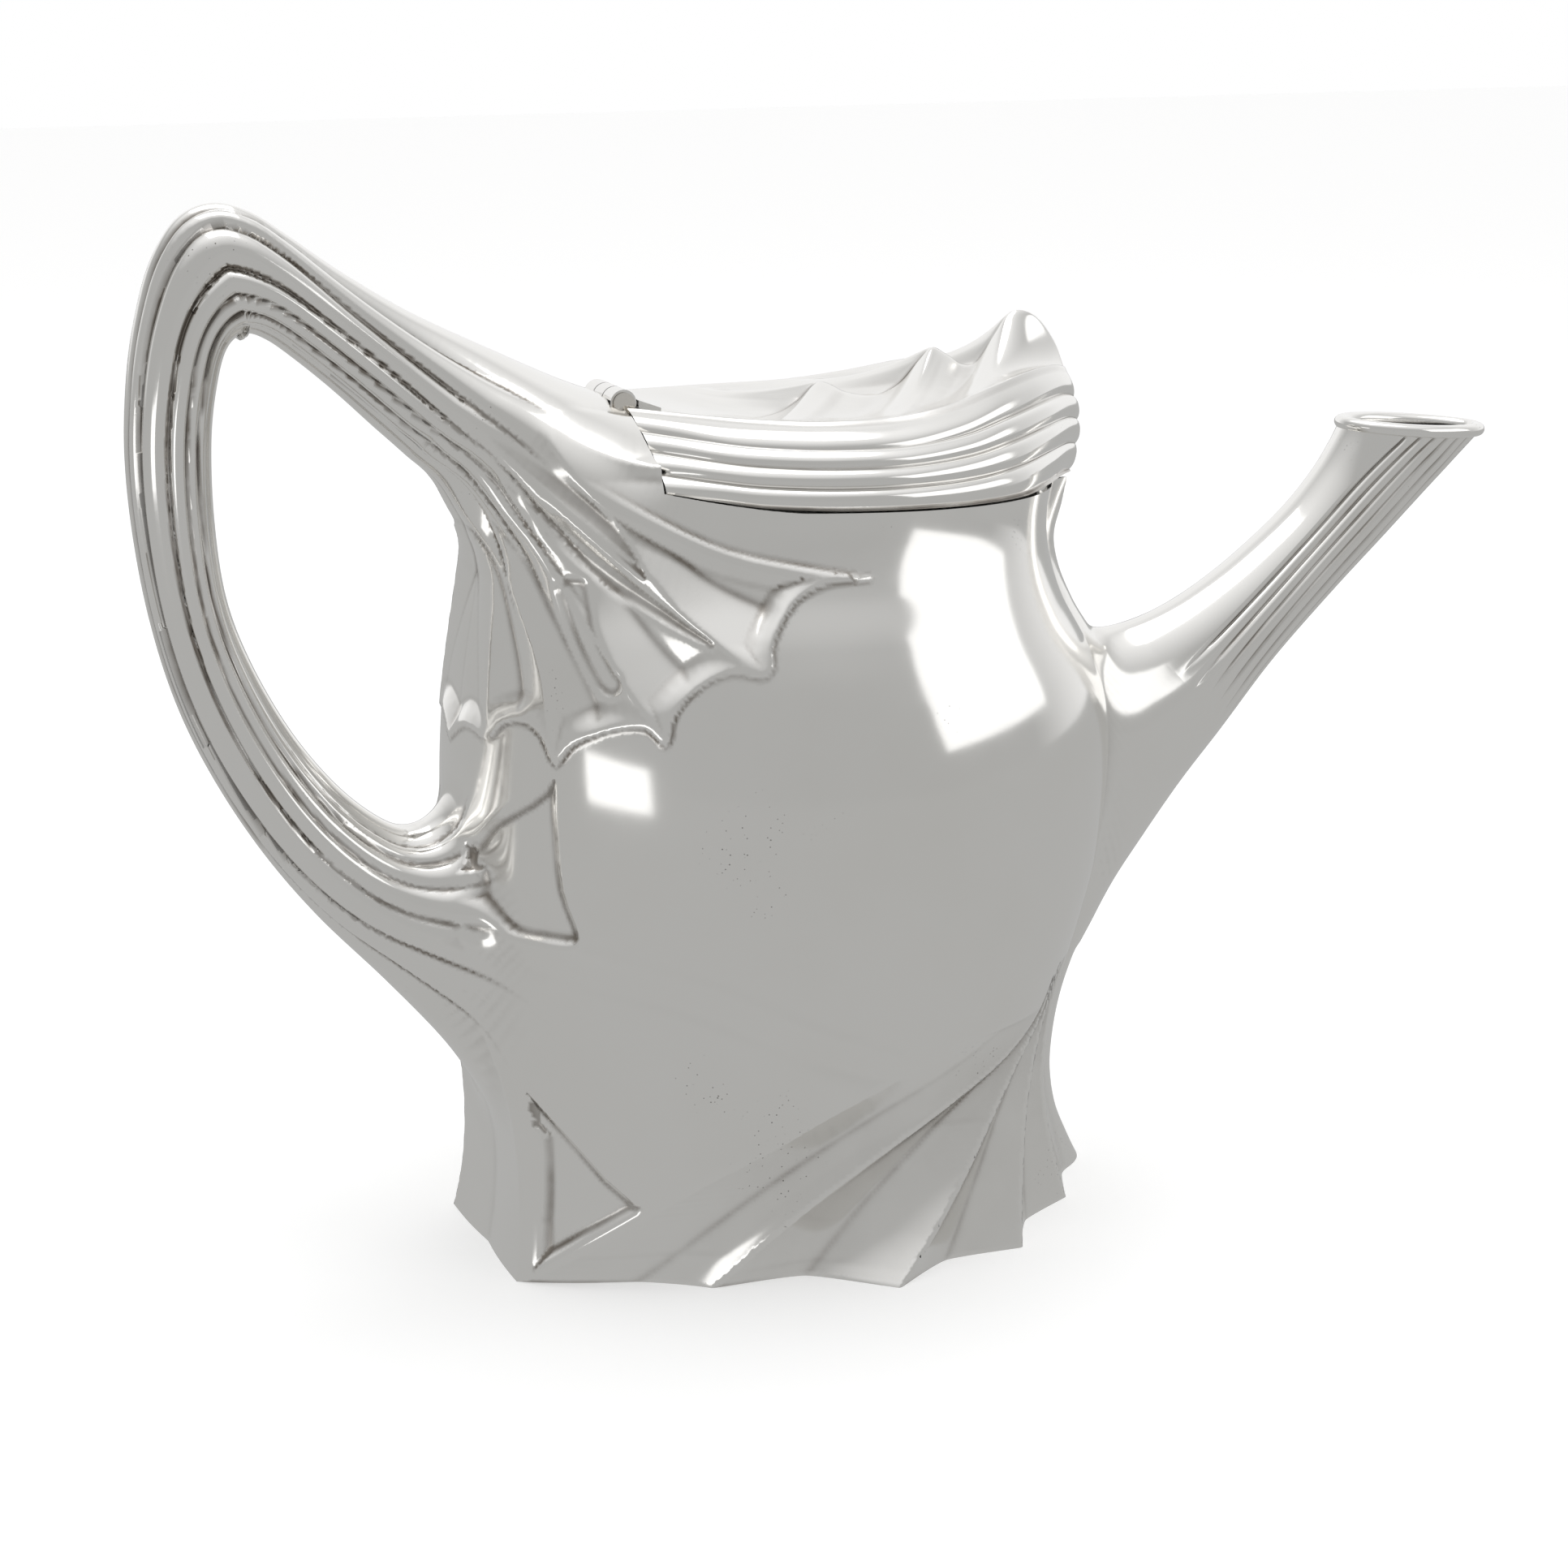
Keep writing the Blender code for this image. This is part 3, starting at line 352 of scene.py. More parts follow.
def read_table(table, at):
    """Each column of a table at heights between its rows, on a smooth curve."""
    rows = np.asarray(sorted(table), float)
    fine = through(rows)
    return [np.interp(at, fine[:, 0], fine[:, i]) for i in range(1, rows.shape[1])]


def nearest(points, curve):
    """For each point: distance to the curve, signed position across it and place along it."""
    line = curve[:, :2]
    step = np.diff(line, axis=0)
    length = np.maximum((step ** 2).sum(1), 1e-12)
    gap = np.full(len(points), np.inf)
    across = np.zeros(len(points))
    place = np.zeros(len(points))
    closest = np.concatenate([
        ((line ** 2).sum(1)[None] - 2.0 * part @ line.T).argmin(1)
        for part in np.array_split(points, max(len(points) // 20000, 1))])
    for shift in (-1, 0):
        k = np.clip(closest + shift, 0, len(step) - 1)
        rel = points - line[k]
        t = np.clip((rel * step[k]).sum(1) / length[k], 0.0, 1.0)
        off = rel - t[:, None] * step[k]
        d = np.hypot(off[:, 0], off[:, 1])
        better = d < gap
        gap = np.where(better, d, gap)
        turn = step[k, 0] * rel[:, 1] - step[k, 1] * rel[:, 0]
        across = np.where(better, np.sign(turn) * d, across)
        place = np.where(better, k + t, place)
    return gap, across, place


def along(curve, place, column):
    return np.interp(place, np.arange(len(curve)), curve[:, column])


def smooth_step(value):
    value = np.clip(value, 0.0, 1.0)
    return value * value * (3.0 - 2.0 * value)


def smooth_min(a, b, reach):
    """Union of two distance fields with a soft fillet."""
    h = np.maximum(reach - np.abs(a - b), 0.0) / reach
    return np.minimum(a, b) - h ** 3 * reach / 6.0


def unit(vectors):
    return vectors / np.maximum(np.linalg.norm(vectors, axis=-1), 1e-9)[..., None]


def inside_polygon(points, corners):
    """Signed distance to a closed outline, positive inside."""
    ring = np.vstack([corners, corners[:1]])
    gap = nearest(points, ring)[0]
    within = np.zeros(len(points), bool)
    for (ax, ay), (bx, by) in zip(ring, ring[1:]):
        crosses = (ay > points[:, 1]) != (by > points[:, 1])
        reach = ax + (points[:, 1] - ay) * (bx - ax) / (by - ay if abs(by - ay) > 1e-9 else 1e-9)
        within ^= crosses & (points[:, 0] < reach)
    return np.where(within, gap, -gap)


def in_parts(field, points):
    """Field values at many points, worked out part by part to save memory."""
    parts = np.array_split(points, max(len(points) // PART_SIZE, 1))
    return np.concatenate([field(part) for part in parts])


def lattice(low, step, counts):
    """Every point of a regular grid, as rows."""
    axes = [start + step * np.arange(count) for start, count in zip(low, counts)]
    return np.stack(np.meshgrid(*axes, indexing="ij"), -1).reshape(-1, len(axes))


# ---------------------------------------------------------------- flutes, ribs and folds


def bearing(points):
    """Angle round the vessel's axis in degrees: 0 is the near side, 90 the front, -90 the back."""
    return np.degrees(np.arctan2(points[:, 0] - AXIS_X, np.abs(points[:, 1])))


def flat(angle, z):
    """Bearing and height as a flat map of the vessel's side in mm."""
    return np.stack([METRIC * np.radians(angle), z], -1)


def flat_curve(points, per_span=10):
    p = through(points, per_span)
    return flat(p[:, 0], p[:, 1])


def plain_radius(angle, z):
    """The vessel's radius at a bearing and a height, before its folds."""
    turn = np.radians(angle)
    back, front, half_width = read_table(VESSEL, z)
    reach = np.where(angle >= 0.0, front - AXIS_X, AXIS_X - back)
    return 1.0 / np.sqrt((np.sin(turn) / reach) ** 2 + (np.cos(turn) / half_width) ** 2)


def fold_bearings(z):
    """Bearing of each fold ridge at the given heights, from the front round to the back."""
    return [read_table([(height, angle) for angle, height in ridge], z)[0] for ridge in FOLD_RIDGES]


def tip_flare(ridge, z):
    """How far a ridge of the foot stands out at each height, from its tip up."""
    radius, gone = FOLD_TIPS[ridge]
    foot_bearing = np.array([FOLD_RIDGES[ridge][-1][0]])
    flare = radius - plain_radius(foot_bearing, np.array([0.0]))[0]
    return flare * np.clip(1.0 - z / gone, 0.0, 1.0) ** 1.9


def fold_offset(angle, z):
    """How far the draped foot stands out from the plain vessel at a bearing and a height."""
    ridges = fold_bearings(np.clip(z, 0.0, FOOT_TOP))
    offset = np.zeros(len(z))
    for k, (depth, close) in enumerate(FOLD_SCALLOPS):
        first, second = ridges[k], ridges[k + 1]
        width = np.maximum(first - second, 0.05)
        inside = (angle <= first) & (angle > second)
        share = np.clip((first - angle) / width, 0.0, 1.0)
        tips = [tip_flare(k, z), tip_flare(k + 1, z)]
        crest = tips[0] + share * (tips[1] - tips[0])
        hollow = 1.0 - np.sqrt((2.0 * share - 1.0) ** 2 + 0.003)
        hollow = np.clip(hollow, 0.0, 1.0) * (1.6 - 0.6 * np.clip(hollow, 0.0, 1.0))
        room = 0.22 * np.radians(width) * FOOT_RADIUS
        sink = np.minimum(depth * np.clip(1.0 - z / close, 0.0, 1.0) ** 0.7, room)
        offset = np.where(inside, crest - sink * hollow, offset)
    hollow = inside_polygon(flat(angle, z), flat(*np.array(FOOT_HOLLOW).T))
    return offset - FOOT_HOLLOW_DEPTH * smooth_step(hollow / 2.4)


def rounded_ridges(angle, edges, radius):
    """Depth below the envelope of rounded ridges that meet in sharp grooves at the given angles."""
    sink = np.zeros(len(angle))
    for low, high in zip(edges, edges[1:]):
        width = np.maximum(low - high, 1e-3)
        inside = (angle <= low) & (angle > high)
        share = 2.0 * np.clip((low - angle) / width, 0.0, 1.0) - 1.0
        size = np.minimum(0.26 * np.radians(width) * radius, 2.0)
        sink = np.where(inside, size * np.abs(share) ** 2.6, sink)
    return sink


def handle_flutes(across, depth, place, share_y):
    angle = np.degrees(np.arctan2(-across, np.abs(share_y)))
    strength = read_table(HANDLE_DEPTH, place)[0]
    grooves = read_table(HANDLE_GROOVES, place)
    top = grooves[0]
    edges = [180.0 - top] + grooves + [-180.0 - grooves[-1]]
    sink = rounded_ridges(angle, edges, np.clip(depth, 7.0, 16.0))
    below = smooth_step((grooves[3] + 4.0 - angle) / 8.0)
    return strength * sink * (1.0 - below * (1.0 - smooth_step((place - 3.6) / 2.4)))


def spout_flutes(angle, place):
    """Depth of the spout's flutes at an angle round its section, 0 at the side, -90 underneath."""
    strength = read_table(SPOUT_DEPTH, place)[0]
    edges = [np.full(len(angle), edge) for edge in SPOUT_GROOVES + (-98.0,)]
    return strength * rounded_ridges(angle, edges, 22.0)


def pointed_groove(at, curve, width, depth):
    """Depth of a groove that starts wide and tapers to a point along its curve."""
    gap, _, place = nearest(at, curve)
    reach = width * np.sqrt(np.clip(1.02 - place / (len(curve) - 1), 0.02, 1.0))
    start = smooth_step(place / 8.0)
    return depth * start * (reach / width) ** 0.5 * np.clip(1.0 - (gap / reach) ** 2, 0.0, 1.0)


def wing_relief(points):
    """Height above the form of the wing's ribs, webs, hem and pocket, and of the hollow under it."""
    at = flat(bearing(points), points[:, 2])
    inside = inside_polygon(at, np.vstack([flat_curve(WING_HEM, 4), flat_curve(WING_TOP, 4)]))
    relief = WING_STEP * smooth_step(inside / 1.0 + 0.5) * smooth_step((152.0 - points[:, 2]) / 12.0)
    gaps = np.sort(np.stack([nearest(at, flat_curve(rib))[0] for rib in WING_RIBS]), 0)
    width = gaps[0] + gaps[1]
    share = gaps[0] / np.maximum(width, 1e-6)
    web = np.minimum(WEB_DEPTH * width, WEB_LIMIT) * (1.0 - np.sqrt((1.0 - 2.0 * share) ** 2 + 0.004))
    relief -= np.where(inside > 0.0, np.clip(web, 0.0, None) * smooth_step(inside / 5.0), 0.0)
    pocket = nearest(at, flat_curve(POCKET))[0]
    relief -= POCKET_DEPTH * smooth_step((POCKET_REACH - pocket) / 1.8) * (inside > 0.0)
    hollow = inside_polygon(at, flat_curve(ROOT_HOLLOW, 4))
    relief -= ROOT_HOLLOW_DEPTH * smooth_step(hollow / 2.2)
    for line, width, depth in POINTED_GROOVES:
        relief -= pointed_groove(at, flat_curve(line), width, depth)
    low = nearest(at, flat_curve(LOW_RIDGE))[0]
    relief += LOW_RIDGE_RISE * np.exp(-(low / LOW_RIDGE_REACH) ** 2)
    return relief * smooth_step((points[:, 0] + 96.0) / 16.0)


# ---------------------------------------------------------------- the whole outer form


def vessel_radius(angle, z):
    """The vessel's radius at a bearing and a height, with its draped foot."""
    radius = plain_radius(angle, z)
    low = z < FOOT_TOP
    if low.any():
        radius[low] += fold_offset(angle[low], z[low])
    return radius


def vessel_field(points):
    plan = np.hypot(points[:, 0] - AXIS_X, points[:, 1])
    radius = vessel_radius(bearing(points), points[:, 2])
    side = (plan - radius) * 0.97
    top = points[:, 2] - 152.0
    return np.maximum(side, top)


class Branch:
    """A swelling tube whose side view lies between two edges and whose width follows its middle.
    Its side-view measures are worked out once on a fine grid and read between the grid's points."""

    def __init__(self, first, second, middle, low, high, flutes=None):
        self.flutes = flutes
        first, second, middle = through(first, 8), through(second, 8), through(middle, 8)
        self.low = np.asarray(low, float)
        counts = np.ceil((np.asarray(high) - self.low) / BRANCH_STEP).astype(int) + 1
        spots = lattice(self.low, BRANCH_STEP, counts)
        to_first, to_second = nearest(spots, first)[1], nearest(spots, second)[1]
        place = nearest(spots, middle)[2]
        centre = middle[len(middle) // 2][None, :2]
        sign = 1.0 if nearest(centre, first)[1][0] > 0.0 else -1.0
        depth = np.maximum(sign * (to_first - to_second), 1.0)
        across = -sign * (to_first + to_second) / depth
        measures = (across, depth / 2.0, along(middle, place, 2), place / 8.0)
        self.grid = np.stack(measures, -1).reshape(counts[0], counts[1], 4)

    def coordinates(self, points):
        """Position across the side view (-1 at the first edge, 1 at the second), half-depth,
        half-width and place along the middle, counted in its listed points."""
        at = (points[:, [0, 2]] - self.low) / BRANCH_STEP
        limit = np.array(self.grid.shape[:2]) - 2
        cell = np.clip(at.astype(int), 0, limit)
        t = np.clip(at - cell, 0.0, 1.0)
        i, j = cell.T
        u, v = t[:, :1], t[:, 1:]
        g = self.grid
        return ((1 - u) * ((1 - v) * g[i, j] + v * g[i, j + 1])
                + u * ((1 - v) * g[i + 1, j] + v * g[i + 1, j + 1])).T

    def field(self, points):
        across, depth, width, place = self.coordinates(points)
        side = points[:, 1] / width
        share = np.sqrt(across ** 2 + side ** 2) + 1e-6
        radius = np.hypot(across * depth, points[:, 1])
        distance = radius * (1.0 - 1.0 / share)
        if self.flutes is not None:
            distance += self.flutes(across, depth, place, side)
        return distance


def whole_field(points):
    """Distance to the whole outer form of vessel, handle, keel and spout, negative inside."""
    value = vessel_field(points)
    x, z = points[:, 0], points[:, 2]
    aside = np.abs(points[:, 1])
    for branch, near, fillet in (
            (HANDLE, (x < -20.0) & (aside < 42.0), HANDLE_FILLET),
            (KEEL, (x > 8.0) & (x < 62.0) & (aside < 30.0), KEEL_FILLET),
            (SPOUT, (x > 14.0) & (aside < 34.0), SPOUT_FILLET)):
        if near.any():
            part = branch.field(points[near])
            if branch is SPOUT:
                part = np.maximum(part, SPOUT_ROOT_Z - z[near])
            value[near] = smooth_min(value[near], part, fillet)
    near = (z > 34.0) & (x > -96.0) & (x < 2.0) & (value < 6.0) & (value > -6.0)
    if near.any():
        value[near] -= wing_relief(points[near])
    gap = HINGE_ROOM - np.hypot(x - HINGE_X, z - HINGE_Z)
    return np.maximum(value, np.minimum(gap, HINGE_HALF_LENGTH - aside))


HANDLE = Branch(HANDLE_OUTER, HANDLE_INNER, HANDLE_MIDDLE, (-146.0, -8.0), (-12.0, 208.0), handle_flutes)
SPOUT = Branch(SPOUT_UNDER, SPOUT_UPPER, SPOUT_MIDDLE, (8.0, -8.0), (150.0, 208.0))
KEEL = Branch(KEEL_FRONT, KEEL_BACK, KEEL_MIDDLE, (8.0, -8.0), (62.0, 208.0))


def gradient(points, step=0.3):
    """The field's slope at each point, and the sum of the six values read round it."""
    shifts = np.concatenate([points + sign * step * axis for axis in np.eye(3) for sign in (1.0, -1.0)])
    values = in_parts(whole_field, shifts).reshape(3, 2, len(points))
    return ((values[:, 0] - values[:, 1]) / (2.0 * step)).T, values.sum((0, 1))


def settle(points, held, rounds=3):
    """Moves points onto the form's surface, never along their held direction."""
    for _ in range(rounds):
        slope, _ = gradient(points, 0.15)
        slope -= (slope * held).sum(1)[:, None] * held
        value = whole_field(points)
        step = -value / np.maximum((slope ** 2).sum(1), 0.05)
        points = points + np.clip(step, -0.6, 0.6)[:, None] * slope
    return points


def ray_to_surface(centres, directions, guess):
    """Distance along each direction to the form's surface, started from a guess."""
    reach = guess.copy()
    for _ in range(7):
        here = whole_field(centres + reach[:, None] * directions)
        ahead = whole_field(centres + (reach + 0.2)[:, None] * directions)
        rate = np.maximum((ahead - here) / 0.2, 0.3)
        reach -= np.clip(here / rate, -1.2, 1.2)
    return reach


def surface_marks(points):
    """Normals of the form at its surface points, and how deep in a groove each point is."""
    slope = gradient(points, 0.35)[0]
    around = gradient(points, GROOVE_REACH)[1]
    bend = (around - 6.0 * whole_field(points)) / GROOVE_REACH ** 2
    return unit(slope), np.clip(-bend * 1.2, 0.0, 1.0)


# ---------------------------------------------------------------- skin of the vessel's field


def field_on_grid(field, low, high, cell):
    """Field values on a grid, exact near the surface and only rough everywhere else."""
    counts = np.ceil((high - low) / cell).astype(int) + 1
    coarse_counts = (counts + BLOCK - 2) // BLOCK + 1
    rough = in_parts(field, lattice(low, cell * BLOCK, coarse_counts)).reshape(coarse_counts)
    index = [np.minimum((np.arange(fine) + BLOCK // 2) // BLOCK, coarse - 1)
             for fine, coarse in zip(counts, coarse_counts)]
    values = rough[np.ix_(*index)].astype(np.float32)
    close = np.abs(values) < cell * BLOCK * 1.3
    values[close] = in_parts(field, low + cell * np.argwhere(close))
    return values


def surface_nets(values, low, cell):
    """Points and quads of the surface where the grid's values change sign, facing outwards."""
    inside = values < 0.0
    corners = np.array([(i, j, k) for i in (0, 1) for j in (0, 1) for k in (0, 1)])
    nx, ny, nz = np.array(values.shape) - 1
    total = np.zeros((nx, ny, nz), np.uint8)
    for i, j, k in corners:
        total += inside[i:nx + i, j:ny + j, k:nz + k]
    crossing = (total > 0) & (total < 8)
    spots = np.argwhere(crossing)
    number = -np.ones(crossing.shape, np.int64)
    number[crossing] = np.arange(len(spots))
    return low + cell * net_points(values, spots, corners), net_quads(inside, number)


def net_points(values, spots, corners):
    """For each crossed cell, the mean of the places where its edges meet the surface."""
    sums = np.zeros((len(spots), 3))
    hits = np.zeros(len(spots))
    for a, b in combinations(corners, 2):
        if np.abs(a - b).sum() != 1:
            continue
        first = values[tuple((spots + a).T)]
        second = values[tuple((spots + b).T)]
        cut = (first < 0.0) != (second < 0.0)
        share = np.where(cut, first / np.where(cut, first - second, 1.0), 0.0)
        sums += np.where(cut[:, None], a + share[:, None] * (b - a), 0.0)
        hits += cut
    return spots + sums / hits[:, None]


def net_quads(inside, number):
    """A quad round each edge of the grid that meets the surface, between the cells beside it."""
    quads = []
    for axis in range(3):
        u, v = (axis + 1) % 3, (axis + 2) % 3
        step = np.eye(3, dtype=int)[axis]
        first = inside[tuple(slice(0, n - s) for n, s in zip(inside.shape, step))]
        second = inside[tuple(slice(s, n) for n, s in zip(inside.shape, step))]
        for order, change in ((1, first & ~second), (-1, ~first & second)):
            edges = np.argwhere(change)
            kept = (edges[:, u] > 0) & (edges[:, v] > 0)
            kept &= (edges[:, u] < number.shape[u]) & (edges[:, v] < number.shape[v])
            ring = []
            for du, dv in ((0, 0), (1, 0), (1, 1), (0, 1)):
                at = edges[kept]
                at[:, u] -= du
                at[:, v] -= dv
                ring.append(number[tuple(at.T)])
            quads.append(np.stack(ring, 1)[:, ::order])
    return np.vstack(quads)


# ---------------------------------------------------------------- meshes


def to_bmesh(points, faces):
    mesh = bpy.data.meshes.new("work")
    mesh.from_pydata(points.tolist(), [], [list(face) for face in faces])
    work = bmesh.new()
    work.from_mesh(mesh)
    bpy.data.meshes.remove(mesh)
    return work


def cut_away(work, point, normal, beyond):
    """Cuts the mesh along a plane and drops the faces that the test picks by their centres."""
    geometry = list(work.verts) + list(work.edges) + list(work.faces)
    bmesh.ops.bisect_plane(work, geom=geometry, dist=1e-4, plane_co=point, plane_no=normal)
    doomed = [face for face in work.faces if beyond(face.calc_center_median())]
    bmesh.ops.delete(work, geom=doomed, context="FACES")


def keep_largest(work):
    """Deletes every island of faces but the largest."""
    left = set(work.faces)
    islands = []
    while left:
        island = [left.pop()]
        for face in island:
            for edge in face.edges:
                for other in edge.link_faces:
                    if other in left:
                        left.remove(other)
                        island.append(other)
        islands.append(island)
    islands.sort(key=len)
    for island in islands[:-1]:
        bmesh.ops.delete(work, geom=island, context="FACES")


def mirrored(points, faces, values):
    """Adds the far half, joined to the near half along the plane of symmetry."""
    middle = np.abs(points[:, 1]) < 1e-3
    twin = np.arange(len(points))
    twin[~middle] = len(points) + np.arange((~middle).sum())
    flip = np.array([1.0, -1.0, 1.0])
    both = np.vstack([points, points[~middle] * flip])
    faces = list(faces) + [tuple(twin[index] for index in face[::-1]) for face in faces]
    joined = [np.concatenate([value, value[~middle] * (flip if value.ndim > 1 else 1.0)]) for value in values]
    return both, faces, joined


def edge_pairs(faces):
    pairs = []
    for face in faces:
        pairs.extend(zip(face, face[1:] + face[:1]))
    return np.array(pairs)


def border_edges(faces):
    """Directed edges that only one face uses."""
    pairs = edge_pairs(faces)
    size = int(pairs.max()) + 1
    key = pairs[:, 0] * size + pairs[:, 1]
    back = pairs[:, 1] * size + pairs[:, 0]
    return pairs[~np.isin(key, back)]


def smoothed(values, pairs, rounds, fixed=None):
    """Values averaged with their neighbours' over the mesh, a number of times."""
    count = np.bincount(pairs[:, 0], minlength=len(values)) + np.bincount(pairs[:, 1], minlength=len(values))
    for _ in range(rounds):
        total = np.zeros_like(values)
        for column in range(values.shape[1]):
            total[:, column] = (
                np.bincount(pairs[:, 0], values[pairs[:, 1], column], len(values))
                + np.bincount(pairs[:, 1], values[pairs[:, 0], column], len(values)))
        mean = total / np.maximum(count, 1)[:, None]
        if fixed is not None:
            mean[fixed] = values[fixed]
        values = 0.4 * values + 0.6 * mean
    return values


def vertex_normals(points, faces):
    normals = np.zeros_like(points)
    for size in (3, 4):
        part = np.array([face for face in faces if len(face) == size])
        if not len(part):
            continue
        turn = np.cross(points[part[:, 2]] - points[part[:, 0]], points[part[:, -1]] - points[part[:, 1]])
        for corner in range(size):
            for axis in range(3):
                normals[:, axis] += np.bincount(part[:, corner], turn[:, axis], len(points))
    return unit(normals)


def turned_out(points, faces, outward):
    """The faces, turned over if they look against the outward directions, and their normals."""
    normals = vertex_normals(points, faces)
    if (normals * outward).sum() < 0.0:
        return [face[::-1] for face in faces], -normals
    return faces, normals


def grid_faces(rows, columns, closed=False):
    faces = []
    last = columns if closed else columns - 1
    for i in range(rows - 1):
        for j in range(last):
            k = (j + 1) % columns
            faces.append((i * columns + j, i * columns + k, (i + 1) * columns + k, (i + 1) * columns + j))
    return faces


def without_slivers(points, faces):
    """Joins points that lie on top of each other and drops the faces that collapse."""
    key = np.round(points / 1e-3).astype(np.int64)
    _, first, twin = np.unique(key, axis=0, return_index=True, return_inverse=True)
    twin = twin.ravel()
    kept = []
    for face in faces:
        ring = [twin[index] for index in face]
        ring = [index for k, index in enumerate(ring) if index != ring[k - 1]]
        if len(set(ring)) == len(ring) and len(ring) > 2:
            kept.append(tuple(ring))
    return points[first], kept


def shell(name, points, faces, normals, groove, material, smoothing, hold=None):
    """A closed skin: the given outer face, an inner face set in by the wall, and their edges."""
    pairs = edge_pairs(faces)
    border = border_edges(faces)
    on_border = np.zeros(len(points), bool)
    on_border[border.ravel()] = True
    plain = smoothed(points, pairs, smoothing, on_border)
    inward = unit(smoothed(vertex_normals(plain, faces), pairs, smoothing))
    inner = plain - WALL * inward
    if hold is not None:
        inner = hold(points, inner, on_border)
    count = len(points)
    strips = [(b, a, a + count, b + count) for a, b in border]
    all_faces = list(faces) + [tuple(index + count for index in face[::-1]) for face in faces] + strips
    everything = np.vstack([points, inner])
    inner_normals = vertex_normals(inner, [face[::-1] for face in faces])
    vertex_wise = np.vstack([normals, inner_normals])
    return add_mesh(name, everything, all_faces, vertex_wise, np.concatenate([groove, np.zeros(count)]),
                    material, flat_from=2 * len(faces))


def add_mesh(name, points, faces, normals, groove, material, flat_from=None):
    """An object from points in mm, shaded by its own normals, with tarnish depth as an attribute."""
    mesh = bpy.data.meshes.new(name)
    mesh.from_pydata((points * MM).tolist(), [], faces)
    mesh.polygons.foreach_set("use_smooth", [True] * len(faces))
    corner = np.empty(len(mesh.loops), np.int64)
    mesh.loops.foreach_get("vertex_index", corner)
    loop_normals = normals[corner]
    if flat_from is not None:
        start = mesh.polygons[flat_from].loop_start if flat_from < len(faces) else len(corner)
        face_normals = np.empty(3 * len(faces))
        mesh.polygons.foreach_get("normal", face_normals)
        face_normals = face_normals.reshape(-1, 3)[flat_from:]
        loop_normals[start:] = np.repeat(face_normals, [len(face) for face in faces[flat_from:]], 0)
    mesh.normals_split_custom_set(loop_normals.tolist())
    layer = mesh.attributes.new("groove", "FLOAT", "POINT")
    layer.data.foreach_set("value", groove.astype(np.float32))
    mesh.materials.append(material)
    piece = bpy.data.objects.new(name, mesh)
    bpy.context.scene.collection.objects.link(piece)
    return piece


# ---------------------------------------------------------------- vessel


def rim_height(x):
    """Height of the vessel's rim, which the lid rests on."""
    x = max(min(x, 60.0), -70.0)
    if x < RIM_SIDE_X:
        return RIM_SIDE_Z + RIM_REAR_RISE * ((RIM_SIDE_X - x) / RIM_REAR_RUN) ** 1.3
    return RIM_SIDE_Z - RIM_FRONT_DROP * (x - RIM_SIDE_X) / RIM_FRONT_RUN


def shear_rim(work, sign):
    """Lowers the mesh by the rim's height so that the rim is level, or raises it back."""
    for vert in work.verts:
        vert.co.z += sign * rim_height(vert.co.x)


def middle_frame(branch_middle, place):
    """Point on a branch's middle line, its direction and the outward normal in the side view."""
    curve = through(branch_middle, 24)[:, :2]
    at = np.asarray(place, float) * 24.0
    index = np.arange(len(curve))
    smooth = np.gradient(curve, axis=0)
    point = np.stack([np.interp(at, index, curve[:, i]) for i in range(2)], -1)
    tangent = np.stack([np.interp(at, index, smooth[:, i]) for i in range(2)], -1)
    tangent /= np.linalg.norm(tangent, axis=-1)[..., None]
    normal = np.stack([-tangent[..., 1], tangent[..., 0]], -1)
    return point, tangent, normal


def cut_planes():
    """The planes where the handle and the spout leave the vessel's skin: point, outward direction."""
    planes = []
    for middle, place, sign in (
            (HANDLE_MIDDLE, HANDLE_START, 1.0), (HANDLE_MIDDLE, HANDLE_END, -1.0),
            (SPOUT_MIDDLE, SPOUT_START, 1.0)):
        point, tangent, _ = middle_frame(middle, place)
        planes.append((Vector((point[0], 0.0, point[1])), sign * Vector((tangent[0], 0.0, tangent[1]))))
    return planes


def trim(work):
    """Trims the near half of the vessel at the plane of symmetry, the floor, the places where the
    handle and the spout begin, the hinge seam and the rim."""
    cut_away(work, ORIGIN, ACROSS, lambda c: c.y > 0.0)
    cut_away(work, ORIGIN, UP, lambda c: c.z < 0.0)
    upper, lower, spout = cut_planes()
    for plane, near in (
            (upper, lambda c: c.x < -60.0 and c.z > 125.0),
            (lower, lambda c: c.x < -90.0 and c.z < 120.0),
            (spout, lambda c: c.x > 40.0)):
        cut_away(work, *plane, lambda c: near(c) and (c - plane[0]).dot(plane[1]) > 0.0)
    cut_away(work, (SEAM_X, 0.0, 0.0), (1.0, 0.0, 0.0), lambda c: False)
    shear_rim(work, -1.0)
    cut_away(work, ORIGIN, UP, lambda c: c.z > 0.0 and c.x > SEAM_X)
    shear_rim(work, 1.0)


def trimmed_half():
    """The near half of the vessel's skin: its points, its faces and which points are on an edge."""
    values = field_on_grid(whole_field, SKIN_LOW, SKIN_HIGH, SKIN_CELL)
    points, faces = surface_nets(values, SKIN_LOW, SKIN_CELL)
    work = to_bmesh(settle(points, np.zeros((len(points), 3)), 2), faces)
    trim(work)
    bmesh.ops.triangulate(work, faces=[face for face in work.faces if len(face.verts) > 4])
    loose = [vert for vert in work.verts if not vert.link_faces]
    bmesh.ops.delete(work, geom=loose, context="VERTS")
    keep_largest(work)
    work.verts.index_update()
    points = np.array([vert.co[:] for vert in work.verts])
    faces = [tuple(vert.index for vert in face.verts) for face in work.faces]
    on_edge = np.array([vert.is_boundary for vert in work.verts])
    work.free()
    return points, faces, on_edge


